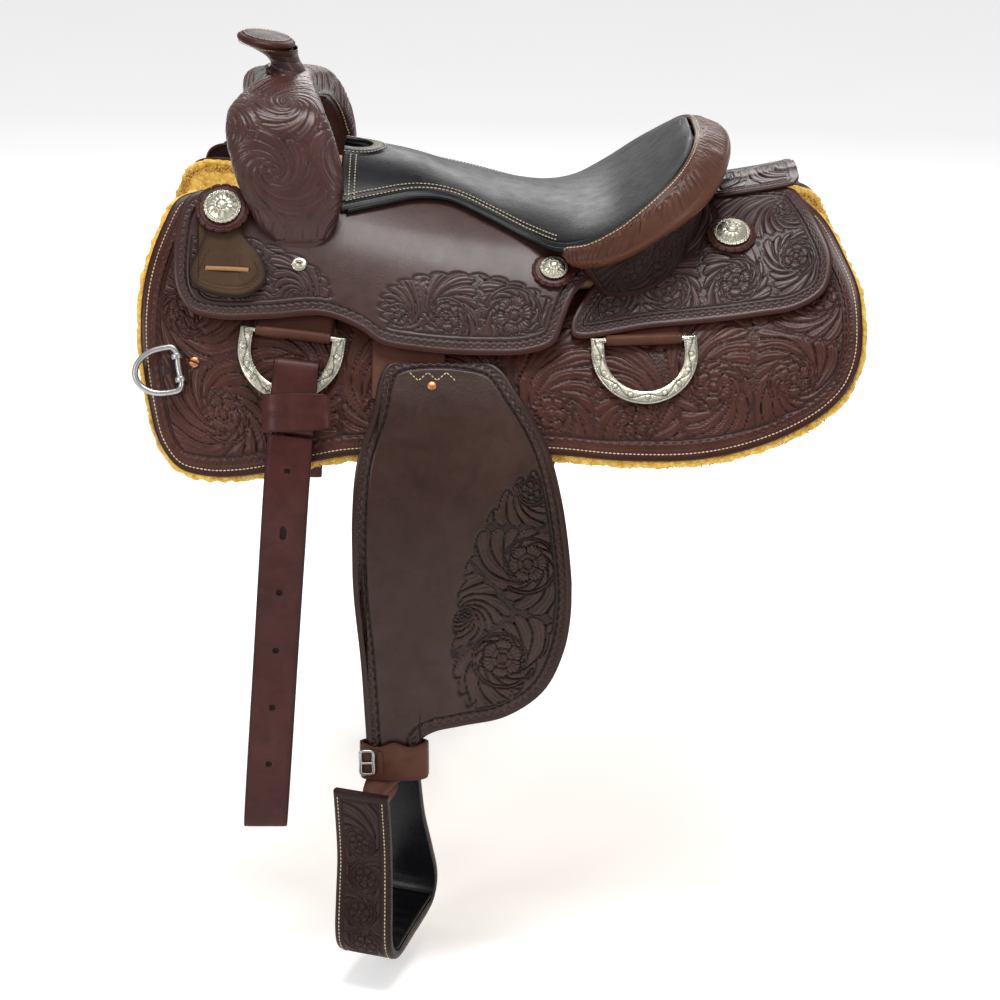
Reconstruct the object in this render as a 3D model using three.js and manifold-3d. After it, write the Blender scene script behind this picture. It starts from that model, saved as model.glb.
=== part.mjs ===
// Western saddle, built as separate pieces laid over one horse-back surface.
// Millimetres. +X runs to the cantle, -Y is the near (left) side, +Z is up.
// The origin is on the centre plane, midway along the skirts, at the seat's reference level.
// The near half is modelled, and every paired piece is mirrored to the off side.

import * as THREE from 'three';
import { mergeVertices } from 'three/addons/utils/BufferGeometryUtils.js';
import Module from 'manifold-3d';

const wasm = await Module();
wasm.setup();

// ---- driving dimensions ----

const NEAR = -1;
const GAP = 0.5; // clearance kept where one piece is cut by its neighbour

// The back surface: ridge height, and slope in degrees at the ridge and at the skirt edge,
// each given as [x, value] at the front, the middle and the rear.
const RIDGE_HEIGHT = [[-290, 72], [0, -12], [300, 8]];
const RIDGE_SLOPE = [[-290, 38], [0, 18], [300, 22]];
const EDGE_SLOPE = [[-290, 74], [0, 73], [300, 70]];
const EDGE_DISTANCE = 350;

// Heights above the back surface of each layer, [inner, outer].
const FLEECE_LAYER = [0, 14.2];
const SKIRT_LAYER = [15.6, 20.6];
const TREE_BAR_LAYER = [21.8, 42];
const STIRRUP_LEATHER_LAYER = [21.8, 24.8];
const JOCKEY_THICKNESS = 3.6;

// Outlines on the near side as [x, distance down from the ridge].
const SKIRT_OUTLINE = [
  [-279, 77], [-318, 100], [-333, 133], [-347, 180], [-353, 220], [-353, 260], [-345, 313],
  [-335, 346], [-316, 364], [-287, 363], [-255, 354], [-222, 341], [-175, 321], [-139, 310],
  [-48, 299], [47, 294], [117, 300], [187, 303], [234, 299], [282, 288], [317, 273], [339, 254],
  [351, 228], [355, 195], [353, 156], [341, 113], [327, 70], [313, 43], [299, 24], [200, 24],
  [0, 32], [-150, 50],
];
const FLEECE_OUTSET = 3;
const SEAT_JOCKEY_OUTLINE = [
  [-262, 96], [-285, 94], [-309, 112], [-319, 159], [-316, 198], [-302, 214], [-276, 214],
  [-222, 201], [-172, 189], [-136, 196], [-117, 206], [-78, 209], [-19, 208], [29, 204],
  [53, 194], [63, 171], [73, 148], [93, 122], [60, 97], [20, 76], [-15, 58], [-50, 45],
  [-90, 47], [-130, 60], [-180, 78], [-225, 92],
];
const REAR_JOCKEY_OUTLINE = [
  [101, 118], [78, 150], [69, 171], [72, 183], [147, 176], [244, 173], [293, 170], [319, 156],
  [327, 127], [317, 88], [303, 52], [292, 34], [203, 22], [150, 60],
];

// Rigging dees: flat metal plates hung under the jockeys.
const DEE_HALF_WIDTH = 52;
const DEE_DROP = 67;
const DEE_BAND = 13;
const DEE_THICKNESS = 4;
const DEE_BAR_HEIGHT = 4.6;
const CHAPE_RADIUS = 5.4;
const CHAPE_BORE = 3.5;
const CHAPE_WIDTH = 74;
const CHAPE_TAIL = 24;
const CHAPE_TAIL_THICKNESS = 1.8;
const DEE_BAR_LEVEL = 27.2;
// Each dee leans in from the tangent plane at its bar by `lean` degrees, and is turned in it by `turn`.
const FRONT_DEE = { x: -202, s: 208.8, lean: 1.6, turn: 6 };
const REAR_DEE = { x: 140.5, s: 187, lean: 5.6, turn: 0 };

// Breast dee: a wire ring whose straight bar turns in a small plate.
const BREAST_DEE = { x: -314, s: 270, level: 28.2, turn: 60 };
const BREAST_DEE_WIDTH = 44;
const BREAST_DEE_DEPTH = 43;
const BREAST_WIRE = 3;
const BREAST_PLATE = { length: 30, width: 10, thickness: 1.6 };
const BREAST_KNUCKLE = { radius: 5.4, length: 5, offset: 11.5 };

// Silver discs: place, radius, and the height above the back at which each one sits.
const CONCHO_HEIGHT = 9;
const KEEPER_OUTLINE = [
  [-290, 100], [-296, 112], [-289, 138], [-303, 180], [-296, 192], [-258, 192], [-240, 184],
  [-227, 167], [-232, 150], [-252, 130], [-252, 108], [-262, 98],
];
const FRONT_CONCHO = { x: -271.5, s: 114, radius: 18, level: 58.8 };
const SEAT_CONCHO = { x: 53, s: 125, radius: 13.5, level: 50.4 };
const REAR_CONCHO = { x: 230, s: 86, radius: 18, level: 42.4 };

// Latigo and off billet: doubled straps over the foot of each front dee.
const STRAP_WIDTH = 44;
const STRAP_THICKNESS = 3;
const STRAP_LEVEL_BELOW = -420;
const STRAP_LEVEL_FADE = 180;
const LATIGO = { lean: 0.086, foot: -590, x: -198 };
const OFF_BILLET = { lean: 0.05, foot: -385, x: -216 };
const STRAP_TOP = { s: 243, height: 33 }; // the middle of the loop, round the dee's foot
const LEAVES_START = 304; // distance down from the ridge at which the strap leaves its loop

// Fender and stirrup.
const FENDER_THICKNESS = 4;
const FENDER_PATH = [
  [-195.6, -112], [-203, -121], [-226, -150], [-247, -187], [-261, -226], [-269, -280],
  [-273, -350], [-275, -430], [-276.5, -480], [-277, -506],
];
const FENDER_FRONT = [
  [-108, -108], [-124, -154], [-138, -195], [-143, -246], [-143, -319], [-137, -393],
  [-133, -469], [-132, -490], [-130, -506],
];
const FENDER_REAR = [
  [-8, -108], [20, -140], [45, -179], [59, -226], [68, -289], [70, -333], [63, -383],
  [43, -426], [6, -453], [-37, -463], [-66, -470], [-78, -479], [-80, -506],
];
const LEATHER_HALF_WIDTH = 36;
const LEATHER_CENTRE_X = -89;
const STRAP_INWARD = 5.2; // how far behind the fender's outer face the strap lies
const STIRRUP_LEATHER_REACH = [214, 219]; // down from the ridge
const STRAP_START = 0.12; // on the hanging line, just below the stirrup leather
const BOLT = new THREE.Vector3(-121, -282, -538);
const STIRRUP_TURN = 20; // degrees that the stirrup is turned about the vertical
const STIRRUP_TILT = 8; // degrees that its outer side hangs lower
const STIRRUP_DEPTH = 56;
const BOLT_RADIUS = 5;
const HOBBLE = { x: -105, bottom: -517, top: -481, halfX: 34, wall: 3.2 };
const STIRRUP_WALL = 8;
const STIRRUP_FLOOR = -150; // top of its floor
const STIRRUP_HALF = [
  [31, 44], [0, 45], [-40, 48], [-90, 59], [-122, 66], [-138, 65], [-151, 57], [-158, 44],
];
const TREAD = { length: 54, width: 96, thickness: 4, level: -146.5 };
const FENDER_FOOT_Y = -277;
const STRAP_LAYER = 3.4;
const NECK_TOP_Y = FENDER_FOOT_Y + STRAP_INWARD + STRAP_LAYER / 2;

// Seat: half width and height along the saddle, from the fork to the cantle rim.
const SEAT_EDGE = [
  [-156, 106, 20], [-119, 92, 25], [-80, 77, 29], [-50, 75, 26], [-10, 93, 12], [30, 116, -4],
  [57, 138, -9], [87, 153, -1], [118, 153, 17], [146, 143, 38], [168, 121, 56], [184, 92, 71],
  [191, 55, 80], [193, 20, 83],
];
const SEAT_CREST = [
  [-156, 64], [-107, 56], [-82, 50], [-51, 39], [-20, 30], [0, 24], [31, 18], [51, 15], [82, 14],
  [110, 20], [140, 38], [165, 58], [185, 77], [193, 83],
];
const SEAT_EDGE_THICKNESS = 4.5;
const SEAT_CREST_THICKNESS = 12;
const GROUND_SEAT_THICKNESS = 5;
const GROUND_SEAT_GAP = 2;
const HAND_HOLE = { front: -190, rear: -129, halfWidth: 22 };

// Cantle rim: seam with the seat and outer line of the roll, near tip to centre.
const RIM_SEAM = [
  [58, -140, -10], [87, -155, -1], [118, -155, 17], [146, -145, 38], [170, -122, 57],
  [186, -92, 73], [194, -50, 82], [195, 0, 83],
];
const RIM_ROLL = [
  [61, -152, -21], [80, -164, -22], [108, -168, -17], [142, -165, -2], [186, -146, 24],
  [214, -114, 46], [229, -62, 64], [233, 0, 70],
];
const CANTLE_FOOT = [
  [84, -138], [104, -146], [128, -147], [154, -140], [180, -118], [195, -84], [202, -44],
  [204, 0],
];

// Fork: stations up the near side of the arch, [outer y, outer z, inner y, inner z, front, back].
const FORK_STATIONS = [
  [-136, -26, -96, -30, -212, -186], [-138, -6, -100, -10, -228, -168],
  [-140, 18, -102, 14, -242, -158], [-138, 46, -101, 38, -254, -153],
  [-132, 76, -94, 62, -263, -156], [-122, 102, -80, 80, -268, -163],
  [-104, 121, -62, 92, -268, -171], [-70, 130, -38, 99, -260, -178],
  [-34, 136, -18, 102, -250, -184], [0, 138, 0, 103, -246, -187],
];
const COVER_THICKNESS = 4;

const HORN_CAP = { tilt: 10, centre: new THREE.Vector3(-235, 0, 168) };
const HORN_SHAFT = { radius: 9, length: 50, tilt: 22, x: -218, z: 136 };
// Rings of the wrapped neck, base to top.
const HORN_NECK = [
  { x: -212, z: 132, radiusX: 22, radiusY: 24, tilt: -16 },
  { x: -216, z: 142, radiusX: 18, radiusY: 20, tilt: -14 },
  { x: -221, z: 150, radiusX: 18, radiusY: 20, tilt: -11 },
  { x: -230, z: 160.5, radiusX: 24, radiusY: 27, tilt: -9 },
];

// ---- small maths helpers ----

const radians = (degrees) => degrees * Math.PI / 180;
const lerp = (a, b, t) => a + (b - a) * t;

function smoothStep(t) {
  const k = Math.min(1, Math.max(0, t));
  return k * k * (3 - 2 * k);
}

// The parabola through three [x, value] points.
function quadratic(x, [[x0, v0], [x1, v1], [x2, v2]]) {
  const a = v0 * (x - x1) * (x - x2) / ((x0 - x1) * (x0 - x2));
  const b = v1 * (x - x0) * (x - x2) / ((x1 - x0) * (x1 - x2));
  const c = v2 * (x - x0) * (x - x1) / ((x2 - x0) * (x2 - x1));
  return a + b + c;
}

// Straight-line lookup in a list of rows keyed by column `key`.
function lookUp(rows, at, key, column) {
  const rising = rows[rows.length - 1][key] > rows[0][key];
  const last = rows.length - 2;
  let i = 0;
  while (i < last && (rising ? at > rows[i + 1][key] : at < rows[i + 1][key])) i += 1;
  const t = (at - rows[i][key]) / (rows[i + 1][key] - rows[i][key]);
  return lerp(rows[i][column], rows[i + 1][column], Math.min(1, Math.max(0, t)));
}

// A point on the near side of the horse-back surface, `height` above it.
function back(x, s, height) {
  const atRidge = radians(quadratic(x, RIDGE_SLOPE));
  const bend = (radians(quadratic(x, EDGE_SLOPE)) - atRidge) / EDGE_DISTANCE;
  const slope = atRidge + bend * s;
  const y = (Math.sin(slope) - Math.sin(atRidge)) / bend + height * Math.sin(slope);
  const drop = (Math.cos(atRidge) - Math.cos(slope)) / bend;
  return new THREE.Vector3(x, NEAR * y, quadratic(x, RIDGE_HEIGHT) - drop + height * Math.cos(slope));
}

// The vertical height of the layer `height` above the back at a given x and y.
function levelOver(x, y, height) {
  let low = -40;
  let high = EDGE_DISTANCE;
  for (let step = 0; step < 40; step += 1) {
    const middle = (low + high) / 2;
    if (back(x, middle, height).y > y) low = middle;
    else high = middle;
  }
  return back(x, low, height).z;
}

// Axes on the back at a point: along (+X), up the slope, and outward.
function backAxes(x, s) {
  const out = back(x, s, 1).sub(back(x, s, 0)).normalize();
  const along = back(x + 5, s, 0).sub(back(x - 5, s, 0));
  along.addScaledVector(out, -along.dot(out)).normalize();
  const up = new THREE.Vector3().crossVectors(out, along);
  return new THREE.Quaternion().setFromRotationMatrix(new THREE.Matrix4().makeBasis(along, up, out));
}

const seatJockeyTop = (s) => 37 + 13 * smoothStep((230 - s) / 140);
const rearJockeyTop = (s) => 29 + 11 * smoothStep((200 - s) / 140);

// ---- closed solids from point grids ----

function signedVolume(points, faces) {
  const volume = (sum, [a, b, c]) => {
    const cross = new THREE.Vector3().crossVectors(points[b], points[c]);
    return sum + points[a].dot(cross) / 6;
  };
  return faces.reduce(volume, 0);
}

function solid(points, faces) {
  const outward = signedVolume(points, faces) > 0;
  const geometry = new THREE.BufferGeometry();
  const index = faces.flatMap(([a, b, c]) => (outward ? [a, b, c] : [a, c, b]));
  geometry.setFromPoints(points);
  geometry.setIndex(index);
  return geometry;
}

// A solid between two sheets, each given as point(i, j) on the same grid.
function slab(columns, rows, outer, inner) {
  const points = [];
  const across = rows + 1;
  for (const sheet of [outer, inner]) {
    for (let i = 0; i <= columns; i += 1) {
      for (let j = 0; j <= rows; j += 1) points.push(sheet(i / columns, j / rows));
    }
  }
  const second = (columns + 1) * across;
  const at = (i, j) => i * across + j;
  const faces = [];
  const quad = (a, b, c, d) => faces.push([a, b, c], [a, c, d]);
  for (let i = 0; i < columns; i += 1) {
    for (let j = 0; j < rows; j += 1) {
      quad(at(i, j), at(i + 1, j), at(i + 1, j + 1), at(i, j + 1));
      quad(second + at(i, j), second + at(i, j + 1), second + at(i + 1, j + 1), second + at(i + 1, j));
    }
    quad(at(i, 0), second + at(i, 0), second + at(i + 1, 0), at(i + 1, 0));
    quad(at(i, rows), at(i + 1, rows), second + at(i + 1, rows), second + at(i, rows));
  }
  for (let j = 0; j < rows; j += 1) {
    quad(at(0, j), at(0, j + 1), second + at(0, j + 1), second + at(0, j));
    quad(at(columns, j), second + at(columns, j), second + at(columns, j + 1), at(columns, j + 1));
  }
  return solid(points, faces);
}

// A solid through a row of rings with equal point counts; a loop joins its last ring to its first.
function loft(rings, looped = false) {
  const count = rings[0].length;
  const points = rings.flat();
  const faces = [];
  const joins = looped ? rings.length : rings.length - 1;
  for (let r = 0; r < joins; r += 1) {
    const here = r * count;
    const there = ((r + 1) % rings.length) * count;
    for (let k = 0; k < count; k += 1) {
      const next = (k + 1) % count;
      faces.push([here + k, here + next, there + next], [here + k, there + next, there + k]);
    }
  }
  if (!looped) {
    const last = (rings.length - 1) * count;
    for (let k = 1; k < count - 1; k += 1) {
      faces.push([0, k + 1, k], [last, last + k, last + k + 1]);
    }
  }
  return solid(points, faces);
}

// ---- boolean cuts and joins ----

function toManifold(geometry) {
  const bare = geometry.clone();
  for (const name of ['normal', 'uv']) bare.deleteAttribute(name);
  const merged = mergeVertices(bare, 1e-4);
  const mesh = new wasm.Mesh({
    numProp: 3,
    vertProperties: new Float32Array(merged.attributes.position.array),
    triVerts: new Uint32Array(merged.index.array),
  });
  return new wasm.Manifold(mesh);
}

function fromManifold(shape) {
  const mesh = shape.getMesh();
  const geometry = new THREE.BufferGeometry();
  geometry.setAttribute('position', new THREE.BufferAttribute(new Float32Array(mesh.vertProperties), 3));
  geometry.setIndex(new THREE.BufferAttribute(new Uint32Array(mesh.triVerts), 1));
  return geometry;
}

// The biggest piece that is left, so that a cut leaves no crumbs.
function largest(shape) {
  const pieces = shape.decompose();
  return pieces.reduce((best, piece) => (piece.volume() > best.volume() ? piece : best));
}

const cut = (body, ...tools) =>
  fromManifold(largest(tools.reduce((left, tool) => left.subtract(toManifold(tool)), toManifold(body))));
const join = (body, ...others) =>
  fromManifold(others.reduce((sum, other) => sum.add(toManifold(other)), toManifold(body)));

// ---- panels on the back ----

// First and last distance from the ridge at which a line of constant x crosses an outline.
function span(outline, x) {
  const crossings = [];
  outline.forEach(([x0, s0], i) => {
    const [x1, s1] = outline[(i + 1) % outline.length];
    if ((x0 - x) * (x1 - x) <= 0 && x0 !== x1) crossings.push(lerp(s0, s1, (x - x0) / (x1 - x0)));
  });
  return [Math.min(...crossings), Math.max(...crossings)];
}

// A leather panel lying on the back, whose columns crowd towards its rounded ends.
function backPanel(outline, columns, rows, inner, outer, outset = 0) {
  const xs = outline.map(([x]) => x);
  const low = Math.min(...xs) + 0.4;
  const high = Math.max(...xs) - 0.4;
  const sheet = (level) => (u, v) => {
    const spread = lerp(u, (1 - Math.cos(Math.PI * u)) / 2, 0.6);
    const x = lerp(low, high, spread);
    const [top, bottom] = span(outline, x);
    const s = lerp(top, bottom + outset, v);
    return back(x + outset * (2 * u - 1), s, level(s));
  };
  return slab(columns, rows, sheet(outer), sheet(inner));
}

const level = (height) => () => height;

function skirt() {
  return backPanel(SKIRT_OUTLINE, 22, 6, level(SKIRT_LAYER[0]), level(SKIRT_LAYER[1]));
}

function fleece() {
  return backPanel(SKIRT_OUTLINE, 16, 5, level(FLEECE_LAYER[0]), level(FLEECE_LAYER[1]), FLEECE_OUTSET);
}

function seatJockey() {
  const inner = (s) => seatJockeyTop(s) - JOCKEY_THICKNESS;
  return backPanel(SEAT_JOCKEY_OUTLINE, 20, 5, inner, seatJockeyTop);
}

function rearJockey() {
  const inner = (s) => rearJockeyTop(s) - JOCKEY_THICKNESS;
  return backPanel(REAR_JOCKEY_OUTLINE, 14, 5, inner, rearJockeyTop);
}

// Space on both sides of the back up to a layer's top, used to seat what rests on that layer.
function backSpace(from, to, top) {
  const sheet = (height) => (u, v) => back(lerp(from, to, u), lerp(10, 260, v), height(lerp(10, 260, v)));
  const near = slab(12, 7, sheet((s) => top(s) + 2 * GAP), sheet(level(-60)));
  return join(near, mirrored(near));
}

// ---- seat ----

const seatHalfWidth = (x) => lookUp(SEAT_EDGE, x, 0, 1);
const CREST_FLATNESS = 2.2;

function seatTop(x, side) {
  const crest = lookUp(SEAT_CREST, x, 0, 1);
  const edge = lookUp(SEAT_EDGE, x, 0, 2);
  return lerp(crest, edge, Math.abs(side) ** CREST_FLATNESS);
}

const seatThickness = (side) => lerp(SEAT_CREST_THICKNESS, SEAT_EDGE_THICKNESS, Math.abs(side) ** 3);

// A sheet of the seat; `depth(side)` is how far it lies below the seat's top, `inset` narrows it.
function seatSheet(from, to, inset, depth) {
  return (u, v) => {
    const x = lerp(from, to, Math.sin(u * Math.PI / 2) * 0.5 + u * 0.5);
    const side = 2 * v - 1;
    const halfWidth = seatHalfWidth(x);
    const y = side * (halfWidth - inset);
    const across = y / halfWidth;
    return new THREE.Vector3(x, y, seatTop(x, across) - depth(across));
  };
}

const SEAT_FRONT = SEAT_EDGE[0][0];
const SEAT_REAR = SEAT_EDGE[SEAT_EDGE.length - 1][0];

function handHole() {
  const hole = new THREE.Shape();
  const { front, rear, halfWidth } = HAND_HOLE;
  hole.moveTo(front, halfWidth);
  hole.lineTo(front, -halfWidth);
  hole.absarc(rear - halfWidth, 0, halfWidth, -Math.PI / 2, Math.PI / 2);
  const tool = new THREE.ExtrudeGeometry(hole, { depth: 160, bevelEnabled: false, curveSegments: 6 });
  return tool.translate(0, 0, -40);
}

function seat() {
  const top = seatSheet(SEAT_FRONT, SEAT_REAR, 0, () => 0);
  const bottom = seatSheet(SEAT_FRONT, SEAT_REAR, 0, seatThickness);
  return cut(slab(18, 8, top, bottom), handHole(), backSpace(-320, 100, seatJockeyTop), forkSolid(GAP));
}

function groundSeat() {
  const inset = 26;
  const under = (side) => seatThickness(side) + GROUND_SEAT_GAP;
  const top = seatSheet(-118, 182, inset, under);
  const bottom = seatSheet(-118, 182, inset, (side) => under(side) + GROUND_SEAT_THICKNESS);
  return slab(14, 6, top, bottom);
}

// Everything from the ground seat upward, with clearance, used to trim the wood below it.
function seatSpace() {
  const floor = (side) => seatThickness(side) + GROUND_SEAT_GAP + GROUND_SEAT_THICKNESS + 2 * GAP;
  const bottom = seatSheet(-130, SEAT_REAR, 0, floor);
  const top = seatSheet(-130, SEAT_REAR, 0, () => -80);
  return slab(14, 6, top, bottom);
}

// ---- tree ----

// The bar thins out behind the seat, where it passes under the rear jockey.
function treeBar() {
  const under = (s) => rearJockeyTop(s) - JOCKEY_THICKNESS - 1;
  const top = (x, s) => lerp(TREE_BAR_LAYER[1], under(s), smoothStep((x - 10) / 45));
  const bar = (height) => (u, v) => {
    const x = lerp(-258, 262, u);
    const s = lerp(lerp(30, 52, smoothStep(-x / 240)), 127, v);
    return back(x, s, height(x, s));
  };
  return cut(slab(14, 3, bar(top), bar(() => TREE_BAR_LAYER[0])), seatSpace());
}

// One rounded section of the fork arch, shrunk by `inset` all round.
function forkRing([outerY, outerZ, innerY, innerZ, front, rear], side, inset) {
  const outer = new THREE.Vector2(side * Math.abs(outerY), outerZ);
  const inner = new THREE.Vector2(side * Math.abs(innerY), innerZ);
  const middle = outer.clone().add(inner).multiplyScalar(0.5);
  const half = outer.clone().sub(middle);
  half.setLength(half.length() - inset);
  const halfX = (rear - front) / 2 - inset;
  const ring = [];
  const corners = 12;
  const squareness = 0.62;
  const soft = (value) => Math.sign(value) * Math.abs(value) ** squareness;
  for (let k = 0; k < corners; k += 1) {
    const angle = 2 * Math.PI * k / corners;
    const lift = soft(Math.sin(angle));
    const x = (front + rear) / 2 + halfX * soft(Math.cos(angle));
    ring.push(new THREE.Vector3(x, middle.x + half.x * lift, middle.y + half.y * lift));
  }
  return ring;
}

function forkSolid(outset = 0) {
  const near = FORK_STATIONS.map((station) => forkRing(station, -1, -outset));
  const off = FORK_STATIONS.slice(0, -1).reverse().map((station) => forkRing(station, 1, -outset));
  return loft([...near, ...off]);
}

function hornShaft(outset) {
  const { radius, length, tilt, x, z } = HORN_SHAFT;
  const shaft = new THREE.CylinderGeometry(radius + outset, radius + outset, length + 2 * outset, 12);
  shaft.rotateX(Math.PI / 2);
  shaft.rotateY(radians(-tilt));
  return shaft.translate(x, 0, z);
}

function swellCover() {
  const hollow = forkSolid(-COVER_THICKNESS);
  return cut(forkSolid(), hollow, backSpace(-320, -100, seatJockeyTop), hornShaft(GAP));
}

function treeFork() {
  const rest = backSpace(-320, -100, seatJockeyTop);
  return cut(forkSolid(-COVER_THICKNESS - GAP), rest, hornShaft(GAP));
}

// ---- cantle ----

// Points along half of the rim are mirrored to give the whole rim, near tip to off tip.
function wholeRim(half) {
  const near = half.map((row) => new THREE.Vector3(...row));
  const off = near.slice(0, -1).reverse().map((p) => new THREE.Vector3(p.x, -p.y, p.z));
  return new THREE.CatmullRomCurve3([...near, ...off]);
}

const CANTLE_STEPS = 18;

// The leather roll round the rim, swollen by `outset` when it is used as a cutter.
function rimRoll(outset = 0) {
  const seam = wholeRim(RIM_SEAM);
  const roll = wholeRim(RIM_ROLL);
  const rings = [];
  for (let i = 0; i <= CANTLE_STEPS; i += 1) {
    const t = i / CANTLE_STEPS;
    const inside = seam.getPoint(t);
    const width = roll.getPoint(t).sub(inside);
    const tangent = seam.getTangent(t);
    const lift = new THREE.Vector3().crossVectors(width, tangent).normalize();
    if (lift.z < 0) lift.negate();
    const outward = width.clone().normalize();
    const middle = [0.5, -4];
    const at = (across, up) => inside.clone()
      .addScaledVector(width, across).addScaledVector(lift, up)
      .addScaledVector(outward, outset * Math.sign(across - middle[0]))
      .addScaledVector(lift, outset * Math.sign(up - middle[1]));
    rings.push([
      at(0.14, 0), at(0.3, 3), at(0.7, 4), at(0.92, 2), at(1, -3.9), at(0.95, -9), at(0.75, -12),
      at(0.4, -11), at(0.15, -7),
    ]);
  }
  return loft(rings);
}

const jockeysBehind = () =>
  [backSpace(30, 100, seatJockeyTop), backSpace(50, 330, rearJockeyTop)];

const cantleBinding = () => cut(rimRoll(), ...jockeysBehind());

// A wall from under the roll down to the rear jockeys; `near` and `far` are distances inside it.
function cantleWall(near, far) {
  const roll = wholeRim(RIM_ROLL);
  const seam = wholeRim(RIM_SEAM);
  const foot = wholeRim(CANTLE_FOOT.map(([x, y]) => [x, y, levelOver(x, y, rearJockeyTop(90) - 6)]));
  const sheet = (inset) => (u, v) => {
    const t = lerp(0.06, 0.94, u);
    const top = roll.getPoint(t).lerp(seam.getPoint(t), 0.45);
    top.z -= 11;
    const inward = foot.getTangent(t).setZ(0).cross(new THREE.Vector3(0, 0, -1)).normalize();
    return top.lerp(foot.getPoint(t), v).addScaledVector(inward, inset);
  };
  return slab(14, 3, sheet(near), sheet(far));
}

const cantleBack = () => cut(cantleWall(0, 3.4), rimRoll(2 * GAP), seatSpace(), ...jockeysBehind());
const cantleCore = () => cut(cantleWall(4.2, 24), rimRoll(2 * GAP), seatSpace(), ...jockeysBehind());

// ---- horn ----

function ellipseRing({ x, z, radiusX, radiusY, tilt }) {
  const ring = [];
  const count = 14;
  for (let k = 0; k < count; k += 1) {
    const angle = 2 * Math.PI * k / count;
    const along = radiusX * Math.cos(angle);
    const rise = along * Math.tan(radians(tilt));
    ring.push(new THREE.Vector3(x + along, radiusY * Math.sin(angle), z + rise));
  }
  return ring;
}

function hornWrap() {
  const neck = loft(HORN_NECK.map(ellipseRing));
  return cut(neck, forkSolid(GAP), hornShaft(GAP));
}

function hornCap() {
  const profile = [[0, -5], [27, -5], [30.5, -2], [30.5, 1], [26, 5], [14, 8], [0, 9]];
  const cap = new THREE.LatheGeometry(profile.map(([r, z]) => new THREE.Vector2(r, z)), 20);
  cap.rotateX(Math.PI / 2);
  cap.scale(0.95, 1.1, 1);
  cap.rotateY(radians(HORN_CAP.tilt)).translate(...HORN_CAP.centre);
  return cut(cap, hornShaft(GAP));
}

// ---- metal ----

function flatDee() {
  const straight = 14;
  const outer = new THREE.Shape();
  const inner = new THREE.Path();
  const half = DEE_BAR_HEIGHT / 2;
  const arcHeight = DEE_DROP - straight;
  outer.moveTo(DEE_HALF_WIDTH, half);
  outer.lineTo(-DEE_HALF_WIDTH, half);
  outer.absellipse(0, -straight, DEE_HALF_WIDTH, arcHeight, Math.PI, 2 * Math.PI);
  const innerHalf = DEE_HALF_WIDTH - DEE_BAND;
  inner.moveTo(innerHalf, -half);
  inner.lineTo(-innerHalf, -half);
  inner.absellipse(0, -straight, innerHalf, arcHeight - DEE_BAND, Math.PI, 2 * Math.PI);
  outer.holes.push(inner);
  const plate = new THREE.ExtrudeGeometry(outer, { depth: DEE_THICKNESS, bevelEnabled: false, curveSegments: 14 });
  return plate.translate(0, 0, -DEE_THICKNESS / 2);
}

// A leather loop round a dee's bar with a tail running up under the jockey.
function chape() {
  const tailTop = -CHAPE_RADIUS + CHAPE_TAIL_THICKNESS;
  const profile = new THREE.Shape();
  profile.moveTo(CHAPE_TAIL, tailTop);
  profile.lineTo(CHAPE_TAIL, -CHAPE_RADIUS);
  profile.absarc(0, 0, CHAPE_RADIUS, -Math.PI / 2, Math.asin(tailTop / CHAPE_RADIUS) - 2 * Math.PI, true);
  const bore = new THREE.Path();
  bore.absarc(0, 0, CHAPE_BORE, 0, 2 * Math.PI);
  profile.holes.push(bore);
  const strap = new THREE.ExtrudeGeometry(profile, { depth: CHAPE_WIDTH, bevelEnabled: false, curveSegments: 8 });
  strap.translate(0, 0, -CHAPE_WIDTH / 2);
  const turn = new THREE.Matrix4().makeBasis(
    new THREE.Vector3(0, 1, 0), new THREE.Vector3(0, 0, 1), new THREE.Vector3(1, 0, 0));
  return strap.applyMatrix4(turn);
}

// A dee turns on the same axis as its chape.
function deePlacement({ x, s, lean, turn }) {
  const spin = new THREE.Quaternion().setFromAxisAngle(new THREE.Vector3(0, 0, 1), radians(turn));
  const tip = new THREE.Quaternion().setFromAxisAngle(new THREE.Vector3(1, 0, 0), radians(lean));
  return { position: back(x, s, DEE_BAR_LEVEL), quaternion: backAxes(x, s).multiply(spin).multiply(tip) };
}

const chapePlacement = (dee) => deePlacement({ ...dee, lean: 0 });

function roundBar(radius, length, sides) {
  return new THREE.CylinderGeometry(radius, radius, length, sides).rotateZ(Math.PI / 2);
}

// D-shaped wire ring: its straight bar lies along local X and its bow hangs towards -Y.
function breastDee() {
  const half = BREAST_DEE_WIDTH / 2;
  const corner = 6;
  const points = [[-half + corner, 0], [half - corner, 0], [half, -corner], [half, -14]];
  const arcSteps = 9;
  for (let i = 1; i < arcSteps; i += 1) {
    const angle = Math.PI * i / arcSteps;
    points.push([half * Math.cos(angle), -14 - (BREAST_DEE_DEPTH - 14) * Math.sin(angle)]);
  }
  points.push([-half, -14], [-half, -corner]);
  const rings = points.map(([x, y], i) => {
    const before = points[(i + points.length - 1) % points.length];
    const after = points[(i + 1) % points.length];
    const side = new THREE.Vector3(after[1] - before[1], before[0] - after[0], 0).normalize();
    const ring = [];
    for (let k = 0; k < 8; k += 1) {
      const angle = 2 * Math.PI * (k + 0.5) / 8;
      const point = new THREE.Vector3(x, y, BREAST_WIRE * Math.sin(angle));
      ring.push(point.addScaledVector(side, BREAST_WIRE * Math.cos(angle)));
    }
    return ring;
  });
  return loft(rings, true);
}

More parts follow.
